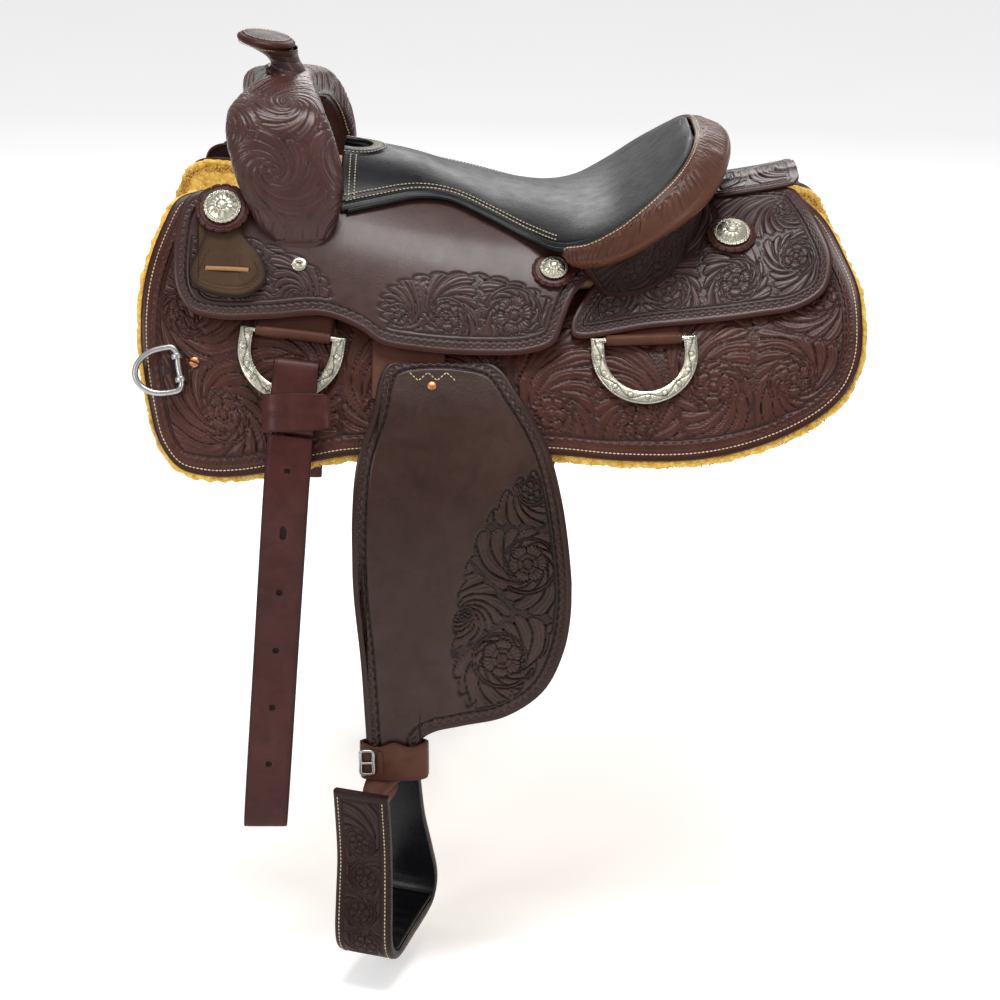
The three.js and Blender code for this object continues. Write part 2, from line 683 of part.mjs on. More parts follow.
function breastDeePlate() {
  const { length, width, thickness } = BREAST_PLATE;
  const floor = SKIRT_LAYER[1] + 1.2 - BREAST_DEE.level;
  const plate = new THREE.BoxGeometry(length, width, thickness).translate(0, 0, floor + thickness / 2);
  const knuckles = [-1, 1].map((side) => {
    const tube = roundBar(BREAST_KNUCKLE.radius, BREAST_KNUCKLE.length, 12);
    return tube.translate(side * BREAST_KNUCKLE.offset, 0, 0);
  });
  return cut(join(plate, ...knuckles), roundBar(BREAST_WIRE + 0.4, length + 10, 12));
}

function concho(radius, height) {
  const profile = [
    [0, 0], [radius, 0], [radius, 2], [radius * 0.8, height / 2], [radius * 0.4, height], [0, height],
  ];
  const disc = new THREE.LatheGeometry(profile.map(([r, z]) => new THREE.Vector2(r, z)), 12);
  return disc.rotateX(Math.PI / 2);
}

const conchoPlacement = ({ x, s, level: height }) =>
  ({ position: back(x, s, height), quaternion: backAxes(x, s) });

// ---- straps ----

// Leather keeper hung from the front concho, lying on the jockey.
function keeper() {
  return backPanel(KEEPER_OUTLINE, 10, 5, (s) => seatJockeyTop(s) + 2.6, (s) => seatJockeyTop(s) + 6.6);
}

// A place at the strap's height over the back, as [y, z].
function strapPlace(x, s, height) {
  const point = back(x, s, height);
  return [point.y, point.z];
}

// Centre line of the closed loop that holds the strap on the dee's foot.
function loopPath({ x }) {
  const rows = [
    [234, 33], [237, 38], [250, 40.5], [280, 40], [296, 38.6], [300, 36],
    [300, 28], [296, 26], [280, 26], [257, 24.2], [243, 24], [236, 27],
  ];
  return rows.map(([s, height]) => strapPlace(x, s, height));
}

// Centre line of the doubled strap below the loop: down its outer leaf, round, and up its inner leaf.
function leavesPath({ x, foot }) {
  const outerDrop = strapPlace(x, 350, 36.5);
  const innerDrop = strapPlace(x, 352, 27.5);
  const bend = (outerDrop[0] + innerDrop[0]) / 2;
  return [
    strapPlace(x, LEAVES_START, 38), strapPlace(x, 325, 37.4), outerDrop,
    [outerDrop[0] - 3, outerDrop[1] - 60], [outerDrop[0] - 3, (outerDrop[1] + foot) / 2],
    [outerDrop[0] - 1, foot + 14], [bend, foot + 2], [innerDrop[0] + 1, foot + 14],
    [innerDrop[0], (innerDrop[1] + foot) / 2], [innerDrop[0], innerDrop[1] - 60], innerDrop,
    strapPlace(x, 325, 27), strapPlace(x, LEAVES_START, 27),
  ];
}

// Near its top the strap's width follows the slope of the dee; it hangs level lower down.
function strapAlong(path, strap, looped) {
  const top = strapPlace(strap.x, STRAP_TOP.s, STRAP_TOP.height)[1];
  const bar = new THREE.Vector3(1, 0, 0).applyQuaternion(deePlacement(FRONT_DEE).quaternion);
  const slope = bar.divideScalar(bar.x);
  const last = path.length - 1;
  const rings = path.map(([y, z], i) => {
    const before = path[i > 0 ? i - 1 : (looped ? last : 0)];
    const after = path[i < last ? i + 1 : (looped ? 0 : last)];
    const normal = new THREE.Vector2(after[1] - before[1], before[0] - after[0]).setLength(STRAP_THICKNESS / 2);
    const follow = smoothStep((z - STRAP_LEVEL_BELOW) / STRAP_LEVEL_FADE);
    const corner = (side, face) => {
      const reach = side * STRAP_WIDTH / 2;
      const x = strap.x + reach - strap.lean * (top - z);
      const shift = slope.clone().multiplyScalar(reach * follow);
      return new THREE.Vector3(x, y + face * normal.x + shift.y, z + face * normal.y + shift.z);
    };
    return [corner(-1, 1), corner(1, 1), corner(1, -1), corner(-1, -1)];
  });
  return loft(rings, looped);
}

const strapLoop = (strap) => strapAlong(loopPath(strap), strap, true);
const strapLeaves = (strap) => strapAlong(leavesPath(strap), strap, false);

// The hanging line of the fender in the YZ plane, `inward` towards the horse.
function hangingLine(t, inward) {
  const line = new THREE.CatmullRomCurve3(FENDER_PATH.map(([y, z]) => new THREE.Vector3(0, y, z)));
  const point = line.getPoint(t);
  const tangent = line.getTangent(t);
  return new THREE.Vector3(0, point.y - tangent.z * inward, point.z + tangent.y * inward);
}

function fender() {
  const sheet = (inward) => (u, v) => {
    const point = hangingLine(u, inward);
    const front = lookUp(FENDER_FRONT, point.z, 1, 0);
    const rear = lookUp(FENDER_REAR, point.z, 1, 0);
    point.x = lerp(front, rear, v);
    return point;
  };
  return slab(18, 4, sheet(0), sheet(FENDER_THICKNESS));
}

// A strap behind the fender between two places on its hanging line.
function strapBehindFender(from, to, inward) {
  const sheet = (depth) => (u, v) => {
    const point = hangingLine(lerp(from, to, u), depth);
    const narrowing = smoothStep((lerp(from, to, u) - 0.6) / 0.4);
    const centre = lerp(LEATHER_CENTRE_X, HOBBLE.x, narrowing);
    const half = lerp(LEATHER_HALF_WIDTH, 24, narrowing);
    point.x = centre + half * (2 * v - 1);
    return point;
  };
  return slab(12, 1, sheet(inward), sheet(inward + STRAP_LAYER));
}

// The short stretch of leather that leaves the jockey and carries the fender.
function stirrupLeather() {
  const sheet = (height) => (u, v) => {
    const s = lerp(...STIRRUP_LEATHER_REACH, u);
    return back(LEATHER_CENTRE_X + LEATHER_HALF_WIDTH * (2 * v - 1), s, height);
  };
  return slab(3, 1, sheet(STIRRUP_LEATHER_LAYER[1]), sheet(STIRRUP_LEATHER_LAYER[0]));
}

// ---- stirrup, modelled about its bolt: X forward and back, Y across, Z up ----

function stirrupShell() {
  const outerHalf = STIRRUP_HALF.map(([z, y]) => [y, z]);
  const innerHalf = outerHalf.slice(0, -1).map(([y, z]) => [y - STIRRUP_WALL, Math.max(z, STIRRUP_FLOOR)]);
  const across = ([y, z]) => [-y, z];
  const points = [
    ...outerHalf, ...outerHalf.toReversed().map(across), ...innerHalf.map(across), ...innerHalf.toReversed(),
  ];
  const outline = new THREE.Shape(points.map(([y, z]) => new THREE.Vector2(y, z)));
  const shell = new THREE.ExtrudeGeometry(outline, { depth: STIRRUP_DEPTH, bevelEnabled: false });
  shell.translate(0, 0, -STIRRUP_DEPTH / 2);
  const turn = new THREE.Matrix4().makeBasis(
    new THREE.Vector3(0, 1, 0), new THREE.Vector3(0, 0, 1), new THREE.Vector3(1, 0, 0));
  shell.applyMatrix4(turn);
  return cut(shell, boltSolid(BOLT_RADIUS + 0.4, 140));
}

function boltSolid(radius, length) {
  return new THREE.CylinderGeometry(radius, radius, length, 12);
}

function stirrupTread() {
  return new THREE.BoxGeometry(TREAD.length, TREAD.width, TREAD.thickness).translate(0, 0, TREAD.level);
}

// Twisted neck of the strap: from flat behind the fender to a loop round the bolt.
function strapNeck(place) {
  const rings = [];
  const steps = 6;
  for (let i = 0; i <= steps; i += 1) {
    const t = i / steps;
    const z = lerp(-501, BOLT.z + 2, t);
    const twist = smoothStep((t - 0.42) / 0.58);
    const centreX = lerp(HOBBLE.x, BOLT.x, twist);
    const centreY = lerp(NECK_TOP_Y, BOLT.y, twist);
    const turn = radians(lerp(0, 90 - STIRRUP_TURN, twist));
    const half = [lerp(23, 26, t), lerp(1.6, 9, twist)];
    const corners = [[-1, -1], [1, -1], [1, 1], [-1, 1]];
    rings.push(corners.map(([a, b]) => {
      const along = a * half[0];
      const across = b * half[1];
      const x = centreX + along * Math.cos(turn) - across * Math.sin(turn);
      return new THREE.Vector3(x, centreY + along * Math.sin(turn) + across * Math.cos(turn), z);
    }));
  }
  const loop = boltSolid(12, 54).applyMatrix4(place);
  const bore = boltSolid(BOLT_RADIUS + 0.6, 80).applyMatrix4(place);
  return { neck: loft(rings), loop, bore };
}

function stirrupPlacement() {
  const turn = new THREE.Quaternion().setFromAxisAngle(new THREE.Vector3(0, 0, 1), radians(-STIRRUP_TURN));
  const tilt = new THREE.Quaternion().setFromAxisAngle(new THREE.Vector3(1, 0, 0), radians(STIRRUP_TILT));
  return { position: BOLT, quaternion: turn.multiply(tilt) };
}

function stirrupStrap() {
  const { position, quaternion } = stirrupPlacement();
  const place = new THREE.Matrix4().compose(position, quaternion, new THREE.Vector3(1, 1, 1));
  const { neck, loop, bore } = strapNeck(place);
  return cut(join(strapBehindFender(STRAP_START, 1, STRAP_INWARD), neck, loop), bore);
}

function hobble() {
  const { x, bottom, top, halfX, wall } = HOBBLE;
  const outerFace = FENDER_FOOT_Y - 1.4 - wall;
  const innerFace = NECK_TOP_Y + STRAP_LAYER / 2 + 1.6 + wall;
  const box = (shrink) => {
    const shape = new THREE.Shape();
    const low = outerFace + shrink;
    const high = innerFace - shrink;
    const half = halfX - shrink;
    shape.moveTo(x - half, low);
    shape.lineTo(x + half, low);
    shape.lineTo(x + half, high);
    shape.lineTo(x - half, high);
    shape.closePath();
    return shape;
  };
  const ring = box(0);
  ring.holes.push(box(wall));
  return new THREE.ExtrudeGeometry(ring, { depth: top - bottom, bevelEnabled: false }).translate(0, 0, bottom);
}

// ---- rear connector ----

function rearConnector() {
  const sheet = (height) => (u, v) => {
    const x = lerp(212, 300, u);
    const s = lerp(-34, 34, v);
    const point = back(x, Math.abs(s), height);
    return new THREE.Vector3(x, Math.sign(s) * Math.abs(point.y), point.z);
  };
  return slab(5, 8, sheet(44.5), sheet(41));
}

// ---- assembly ----

function mirrored(geometry) {
  const copy = geometry.clone();
  for (const name of ['normal', 'uv']) copy.deleteAttribute(name);
  const merged = mergeVertices(copy, 1e-4).scale(1, -1, 1);
  const order = merged.index.array;
  for (let i = 0; i < order.length; i += 3) [order[i + 1], order[i + 2]] = [order[i + 2], order[i + 1]];
  return merged;
}

const finish = (color, roughness, metalness = 0) => new THREE.MeshStandardMaterial({ color, roughness, metalness });
const MATERIALS = {
  skirtLeather: finish(0x4a2820, 0.4),
  jockeyLeather: finish(0x3f2a2a, 0.42),
  fenderLeather: finish(0x33221e, 0.45),
  seatLeather: finish(0x1b1d21, 0.35),
  cantleLeather: finish(0x5e3728, 0.4),
  rigLeather: finish(0x6b3c2c, 0.5),
  latigoLeather: finish(0x4f1c1a, 0.4),
  keeperLeather: finish(0x453127, 0.45),
  fleece: finish(0xe0a63c, 0.95),
  wood: finish(0xb58a5a, 0.7),
  silver: finish(0xc9c6b8, 0.3, 1),
  steel: finish(0xb6b8b8, 0.35, 1),
};

const saddle = new THREE.Group();

function add(name, geometry, material, placement = {}) {
  const mesh = new THREE.Mesh(geometry, material);
  mesh.name = name;
  if (placement.position) mesh.position.copy(placement.position);
  if (placement.quaternion) mesh.quaternion.copy(placement.quaternion);
  saddle.add(mesh);
}

function offSide({ position, quaternion }) {
  if (!position) return {};
  return {
    position: new THREE.Vector3(position.x, -position.y, position.z),
    quaternion: new THREE.Quaternion(-quaternion.x, quaternion.y, -quaternion.z, quaternion.w),
  };
}

function addPair(name, geometry, material, placement = {}) {
  add(`${name}_near`, geometry, material, placement);
  add(`${name}_off`, mirrored(geometry), material, offSide(placement));
}

function breastDeePlacement() {
  const { x, s, level: height, turn } = BREAST_DEE;
  const spin = new THREE.Quaternion().setFromAxisAngle(new THREE.Vector3(0, 0, 1), radians(-turn));
  return { position: back(x, s, height), quaternion: backAxes(x, s).multiply(spin) };
}

addPair('fleece', fleece(), MATERIALS.fleece);
addPair('skirt', skirt(), MATERIALS.skirtLeather);
addPair('tree_bar', treeBar(), MATERIALS.wood);
addPair('seat_jockey', seatJockey(), MATERIALS.jockeyLeather);
addPair('rear_jockey', rearJockey(), MATERIALS.jockeyLeather);
addPair('front_chape', chape(), MATERIALS.rigLeather, chapePlacement(FRONT_DEE));
addPair('rear_chape', chape(), MATERIALS.rigLeather, chapePlacement(REAR_DEE));
addPair('front_dee', flatDee(), MATERIALS.silver, deePlacement(FRONT_DEE));
addPair('rear_dee', flatDee(), MATERIALS.silver, deePlacement(REAR_DEE));
addPair('breast_dee_plate', breastDeePlate(), MATERIALS.steel, breastDeePlacement());
addPair('breast_dee', breastDee(), MATERIALS.steel, breastDeePlacement());
addPair('front_concho', concho(FRONT_CONCHO.radius, CONCHO_HEIGHT), MATERIALS.silver, conchoPlacement(FRONT_CONCHO));
addPair('seat_concho', concho(SEAT_CONCHO.radius, CONCHO_HEIGHT), MATERIALS.silver, conchoPlacement(SEAT_CONCHO));
addPair('rear_concho', concho(REAR_CONCHO.radius, CONCHO_HEIGHT), MATERIALS.silver, conchoPlacement(REAR_CONCHO));
addPair('keeper', keeper(), MATERIALS.keeperLeather);

add('latigo_loop', strapLoop(LATIGO), MATERIALS.latigoLeather);
add('latigo', strapLeaves(LATIGO), MATERIALS.latigoLeather);
add('billet_loop', mirrored(strapLoop(OFF_BILLET)), MATERIALS.latigoLeather);
add('off_billet', mirrored(strapLeaves(OFF_BILLET)), MATERIALS.latigoLeather);

addPair('stirrup_leather', stirrupLeather(), MATERIALS.rigLeather);
addPair('fender', fender(), MATERIALS.fenderLeather);
addPair('stirrup_strap', stirrupStrap(), MATERIALS.rigLeather);
addPair('hobble', hobble(), MATERIALS.rigLeather);
addPair('stirrup', stirrupShell(), MATERIALS.fenderLeather, stirrupPlacement());
addPair('stirrup_tread', stirrupTread(), MATERIALS.seatLeather, stirrupPlacement());
addPair('stirrup_bolt', boltSolid(BOLT_RADIUS, 84), MATERIALS.steel, stirrupPlacement());

add('tree_fork', treeFork(), MATERIALS.wood);
add('swell_cover', swellCover(), MATERIALS.jockeyLeather);
add('horn_core', hornShaft(0), MATERIALS.steel);
add('horn_wrap', hornWrap(), MATERIALS.jockeyLeather);
add('horn_cap', hornCap(), MATERIALS.jockeyLeather);
add('ground_seat', groundSeat(), MATERIALS.rigLeather);
add('seat', seat(), MATERIALS.seatLeather);
add('cantle_core', cantleCore(), MATERIALS.wood);
add('cantle_back', cantleBack(), MATERIALS.jockeyLeather);
add('cantle_binding', cantleBinding(), MATERIALS.cantleLeather);
add('rear_connector', rearConnector(), MATERIALS.jockeyLeather);

export default saddle;
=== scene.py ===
"""A western saddle, dressed in tooled leather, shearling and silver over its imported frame.

Lengths in the shape code are millimetres, and meshes are made in metres.
+X runs to the cantle, -Y is the near side and +Z is up. Paired pieces are made for the near side
and mirrored to the off side.
"""

import math

import bpy
import bmesh
import numpy as np
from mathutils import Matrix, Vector


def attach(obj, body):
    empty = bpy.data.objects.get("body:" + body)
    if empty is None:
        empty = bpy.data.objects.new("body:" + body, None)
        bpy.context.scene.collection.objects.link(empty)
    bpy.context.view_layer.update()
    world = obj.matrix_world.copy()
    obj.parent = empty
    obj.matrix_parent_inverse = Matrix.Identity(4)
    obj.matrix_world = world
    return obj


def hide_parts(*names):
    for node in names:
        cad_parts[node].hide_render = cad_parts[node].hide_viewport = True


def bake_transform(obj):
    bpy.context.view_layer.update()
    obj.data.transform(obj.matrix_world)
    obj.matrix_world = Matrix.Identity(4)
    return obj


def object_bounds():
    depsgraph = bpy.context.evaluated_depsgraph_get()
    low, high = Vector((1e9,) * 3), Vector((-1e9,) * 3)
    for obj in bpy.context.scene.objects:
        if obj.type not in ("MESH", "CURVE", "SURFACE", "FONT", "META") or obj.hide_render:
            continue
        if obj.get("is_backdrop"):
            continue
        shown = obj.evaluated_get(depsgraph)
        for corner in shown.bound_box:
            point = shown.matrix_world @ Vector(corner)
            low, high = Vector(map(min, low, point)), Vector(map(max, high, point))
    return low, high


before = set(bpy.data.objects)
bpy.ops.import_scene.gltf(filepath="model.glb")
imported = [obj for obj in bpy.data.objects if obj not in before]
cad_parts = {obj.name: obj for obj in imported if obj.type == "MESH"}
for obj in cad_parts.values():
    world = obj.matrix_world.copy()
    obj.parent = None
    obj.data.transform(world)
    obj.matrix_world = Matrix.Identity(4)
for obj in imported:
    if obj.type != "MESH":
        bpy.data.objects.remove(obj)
CAD_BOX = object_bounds()
MM = 0.001
ROOT = "saddle"
SEED = 11
random = np.random.default_rng(SEED)

# ---- horse-back surface and layers ----

RIDGE_HEIGHT = ((-290, 72), (0, -12), (300, 8))
RIDGE_SLOPE = ((-290, 38), (0, 18), (300, 22))
EDGE_SLOPE = ((-290, 74), (0, 73), (300, 70))
EDGE_DISTANCE = 350
SKIRT_TOP = 20.6
SKIRT_THICKNESS = 4.6
JOCKEY_THICKNESS = 3.6

SKIRT_OUTLINE = [
    (-279, 77), (-318, 100), (-333, 133), (-347, 180), (-353, 220), (-353, 260), (-345, 313),
    (-335, 346), (-316, 364), (-287, 363), (-255, 354), (-222, 341), (-175, 321), (-139, 310),
    (-48, 299), (47, 294), (117, 300), (187, 303), (234, 299), (282, 288), (317, 273), (339, 254),
    (351, 228), (355, 195), (353, 156), (341, 113), (327, 70), (313, 43), (299, 24), (200, 24),
    (0, 32), (-150, 50),
]
SEAT_JOCKEY_OUTLINE = [
    (-262, 96), (-285, 94), (-309, 112), (-319, 159), (-316, 198), (-302, 214), (-276, 214),
    (-222, 201), (-172, 189), (-136, 196), (-117, 206), (-78, 209), (-19, 208), (29, 204),
    (53, 194), (63, 171), (73, 148), (93, 122), (60, 97), (20, 76), (-15, 58), (-50, 45),
    (-90, 47), (-130, 60), (-180, 78), (-225, 92),
]
REAR_JOCKEY_OUTLINE = [
    (101, 118), (78, 150), (69, 171), (72, 183), (147, 176), (244, 173), (293, 170), (319, 156),
    (327, 127), (317, 88), (303, 52), (292, 34), (203, 22), (150, 60),
]
KEEPER_OUTLINE = [
    (-290, 100), (-296, 112), (-289, 138), (-303, 180), (-296, 192), (-258, 192), (-240, 184),
    (-227, 167), (-232, 150), (-252, 130), (-252, 108), (-262, 98),
]


# ---- small maths ----


def mix(a, b, t):
    return a + (b - a) * t


def smooth(value, low=0.0, high=1.0):
    k = np.clip((np.asarray(value, float) - low) / (high - low), 0, 1)
    return k * k * (3 - 2 * k)


def parabola(x, rows):
    (x0, v0), (x1, v1), (x2, v2) = rows
    a = v0 * (x - x1) * (x - x2) / ((x0 - x1) * (x0 - x2))
    b = v1 * (x - x0) * (x - x2) / ((x1 - x0) * (x1 - x2))
    c = v2 * (x - x0) * (x - x1) / ((x2 - x0) * (x2 - x1))
    return a + b + c


def back(x, s, height):
    """Points on the near side, s down from the ridge and height above the horse's back."""
    x, s, height = np.broadcast_arrays(*(np.asarray(a, float) for a in (x, s, height)))
    at_ridge = np.radians(parabola(x, RIDGE_SLOPE))
    bend = (np.radians(parabola(x, EDGE_SLOPE)) - at_ridge) / EDGE_DISTANCE
    slope = at_ridge + bend * s
    y = (np.sin(slope) - np.sin(at_ridge)) / bend + height * np.sin(slope)
    drop = (np.cos(at_ridge) - np.cos(slope)) / bend
    z = parabola(x, RIDGE_HEIGHT) - drop + height * np.cos(slope)
    return np.stack([x, -y, z], -1)


def seat_jockey_top(x, s):
    return 37 + 13 * smooth(s, 230, 90)


def rear_jockey_top(x, s):
    return 29 + 11 * smooth(s, 200, 60)


def unit(v):
    return v / np.maximum(np.linalg.norm(v, axis=-1, keepdims=True), 1e-9)


def bell(value, middle, width):
    """1 at the middle, fading smoothly to 0 within about two widths on either side."""
    return np.exp(-(((value - middle) / width) ** 2))


def lengths(line):
    """Length of a line from its start to each of its points."""
    return np.concatenate([[0], np.cumsum(np.linalg.norm(np.diff(line, axis=0), axis=1))])


def smooth_line(points, count, closed=False):
    """A centripetal curve through points, sampled at equal steps of length."""
    p = np.asarray(points, float)
    if closed:
        p = np.vstack([p[-1:], p, p[:2]])
    else:
        p = np.vstack([2 * p[:1] - p[1:2], p, 2 * p[-1:] - p[-2:-1]])
    knot = np.sqrt(np.maximum(np.linalg.norm(np.diff(p, axis=0), axis=1), 1e-3))
    rate = np.diff(p, axis=0) / knot[:, None]
    tangent = (rate[1:] * knot[:-1, None] + rate[:-1] * knot[1:, None]) / (knot[1:] + knot[:-1])[:, None]
    t = np.linspace(0, 1, 12, endpoint=False)[:, None]
    line = []
    for i in range(len(tangent) - 1):
        a, b, k = p[i + 1], p[i + 2], knot[i + 1]
        m0, m1 = tangent[i] * k, tangent[i + 1] * k
        line.append((2 * t**3 - 3 * t**2 + 1) * a + (t**3 - 2 * t**2 + t) * m0
                    + (3 * t**2 - 2 * t**3) * b + (t**3 - t**2) * m1)
    line = np.vstack([*line, p[-2:-1]])
    return resample(line, count, closed)


def resample(line, count, closed=False):
    along = lengths(line)
    at = np.linspace(0, along[-1], count, endpoint=not closed)
    return np.stack([np.interp(at, along, line[:, k]) for k in range(line.shape[1])], -1)


def curve_at(rows, key, column, at):
    """Smooth lookup of a column against the key column of a short table."""
    rows = np.asarray(rows, float)
    line = smooth_line(rows, 40 * len(rows))
    order = np.argsort(line[:, key])
    return np.interp(at, line[order, key], line[order, column])


def outward(loop):
    """Unit normals in the plane of a closed loop, pointing out of it."""
    tangent = np.roll(loop, -1, 0) - np.roll(loop, 1, 0)
    normal = unit(np.stack([tangent[:, 1], -tangent[:, 0]], -1))
    following = np.roll(loop, -1, 0)
    area = np.sum(loop[:, 0] * following[:, 1] - following[:, 0] * loop[:, 1])
    return normal if area > 0 else -normal


def inset(loop, distance):
    return loop - outward(loop) * distance


def rounded(outline, count=420, distance=0.0):
    loop = smooth_line(outline, count, closed=True)
    return inset(loop, distance) if distance else loop


# ---- shapes: points, faces and per-point fields ----


def shape(points, faces, **fields):
    points = np.asarray(points, float).reshape(-1, 3)
    named = {"relief": 0.0, "edge": 0.0, "tone": 0.0, **fields}
    filled = {k: np.broadcast_to(np.asarray(v, float).reshape(-1), len(points)).copy()
              for k, v in named.items()}
    return {"points": points, "faces": np.asarray(faces, int), "fields": filled}


def grid_faces(rows, columns, loop_rows=False, loop_columns=False):
    index = np.arange(rows * columns).reshape(rows, columns)
    if loop_rows:
        index = np.vstack([index, index[:1]])
    if loop_columns:
        index = np.hstack([index, index[:, :1]])
    corners = [index[:-1, :-1], index[1:, :-1], index[1:, 1:], index[:-1, 1:]]
    return np.stack(corners, -1).reshape(-1, 4)


def grid(points, loop_rows=False, loop_columns=False, **fields):
    rows, columns = points.shape[:2]
    return shape(points, grid_faces(rows, columns, loop_rows, loop_columns), **fields)


def merged(shapes):
    offset = 0
    faces = []
    for s in shapes:
        faces.append(s["faces"] + offset)
        offset += len(s["points"])
    fields = {k: np.concatenate([s["fields"][k] for s in shapes]) for k in shapes[0]["fields"]}
    return {"points": np.vstack([s["points"] for s in shapes]), "faces": np.vstack(faces), "fields": fields}


def mirrored(s):
    return {**s, "points": s["points"] * np.array([1, -1, 1]), "faces": s["faces"][:, ::-1]}


def make(name, shapes, material, body, replaces=()):
    """One mesh object that rides on a body and stands for some CAD nodes."""
    whole = merged(shapes if isinstance(shapes, list) else [shapes])
    mesh = bpy.data.meshes.new(name)
    points, faces = whole["points"] * MM, whole["faces"]
    mesh.vertices.add(len(points))
    mesh.vertices.foreach_set("co", points.astype(np.float32).ravel())
    mesh.loops.add(faces.size)
    mesh.loops.foreach_set("vertex_index", faces.astype(np.int32).ravel())
    mesh.polygons.add(len(faces))
    mesh.polygons.foreach_set("loop_start", np.arange(0, faces.size, 4, dtype=np.int32))
    mesh.polygons.foreach_set("use_smooth", np.ones(len(faces), bool))
    mesh.update(calc_edges=True)
    for key, values in whole["fields"].items():
        attribute = mesh.attributes.new(key, "FLOAT", "POINT")
        attribute.data.foreach_set("value", values.astype(np.float32))
    tidy_faces(mesh)
    mesh.materials.append(material)
    piece = bpy.data.objects.new(name, mesh)
    bpy.context.scene.collection.objects.link(piece)
    if body:
        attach(piece, body)
    if replaces:
        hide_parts(*replaces)
    return piece


def tidy_faces(mesh):
    """Removes folded quads at the ends of grids and turns every face outward."""
    work = bmesh.new()
    work.from_mesh(mesh)
    bmesh.ops.remove_doubles(work, verts=work.verts, dist=1e-6)
    bmesh.ops.dissolve_degenerate(work, edges=work.edges, dist=1e-7)
    bmesh.ops.recalc_face_normals(work, faces=work.faces)
    work.to_mesh(mesh)
    work.free()


def make_pair(name, shapes, material, body, replaces=()):
    """The near piece and its mirror image; bodies other than the root exist on each side."""
    shapes = shapes if isinstance(shapes, list) else [shapes]
    made = []
    for side, copies in (("near", shapes), ("off", [mirrored(s) for s in shapes])):
        rides = body if body in (ROOT, None) else f"{body}_{side}"
        stands = [f"{node}_{side}" for node in replaces]
        made.append(make(f"{name}_{side}", copies, material, rides, stands))
    return made


# ---- tooling: a height field cut into leather ----


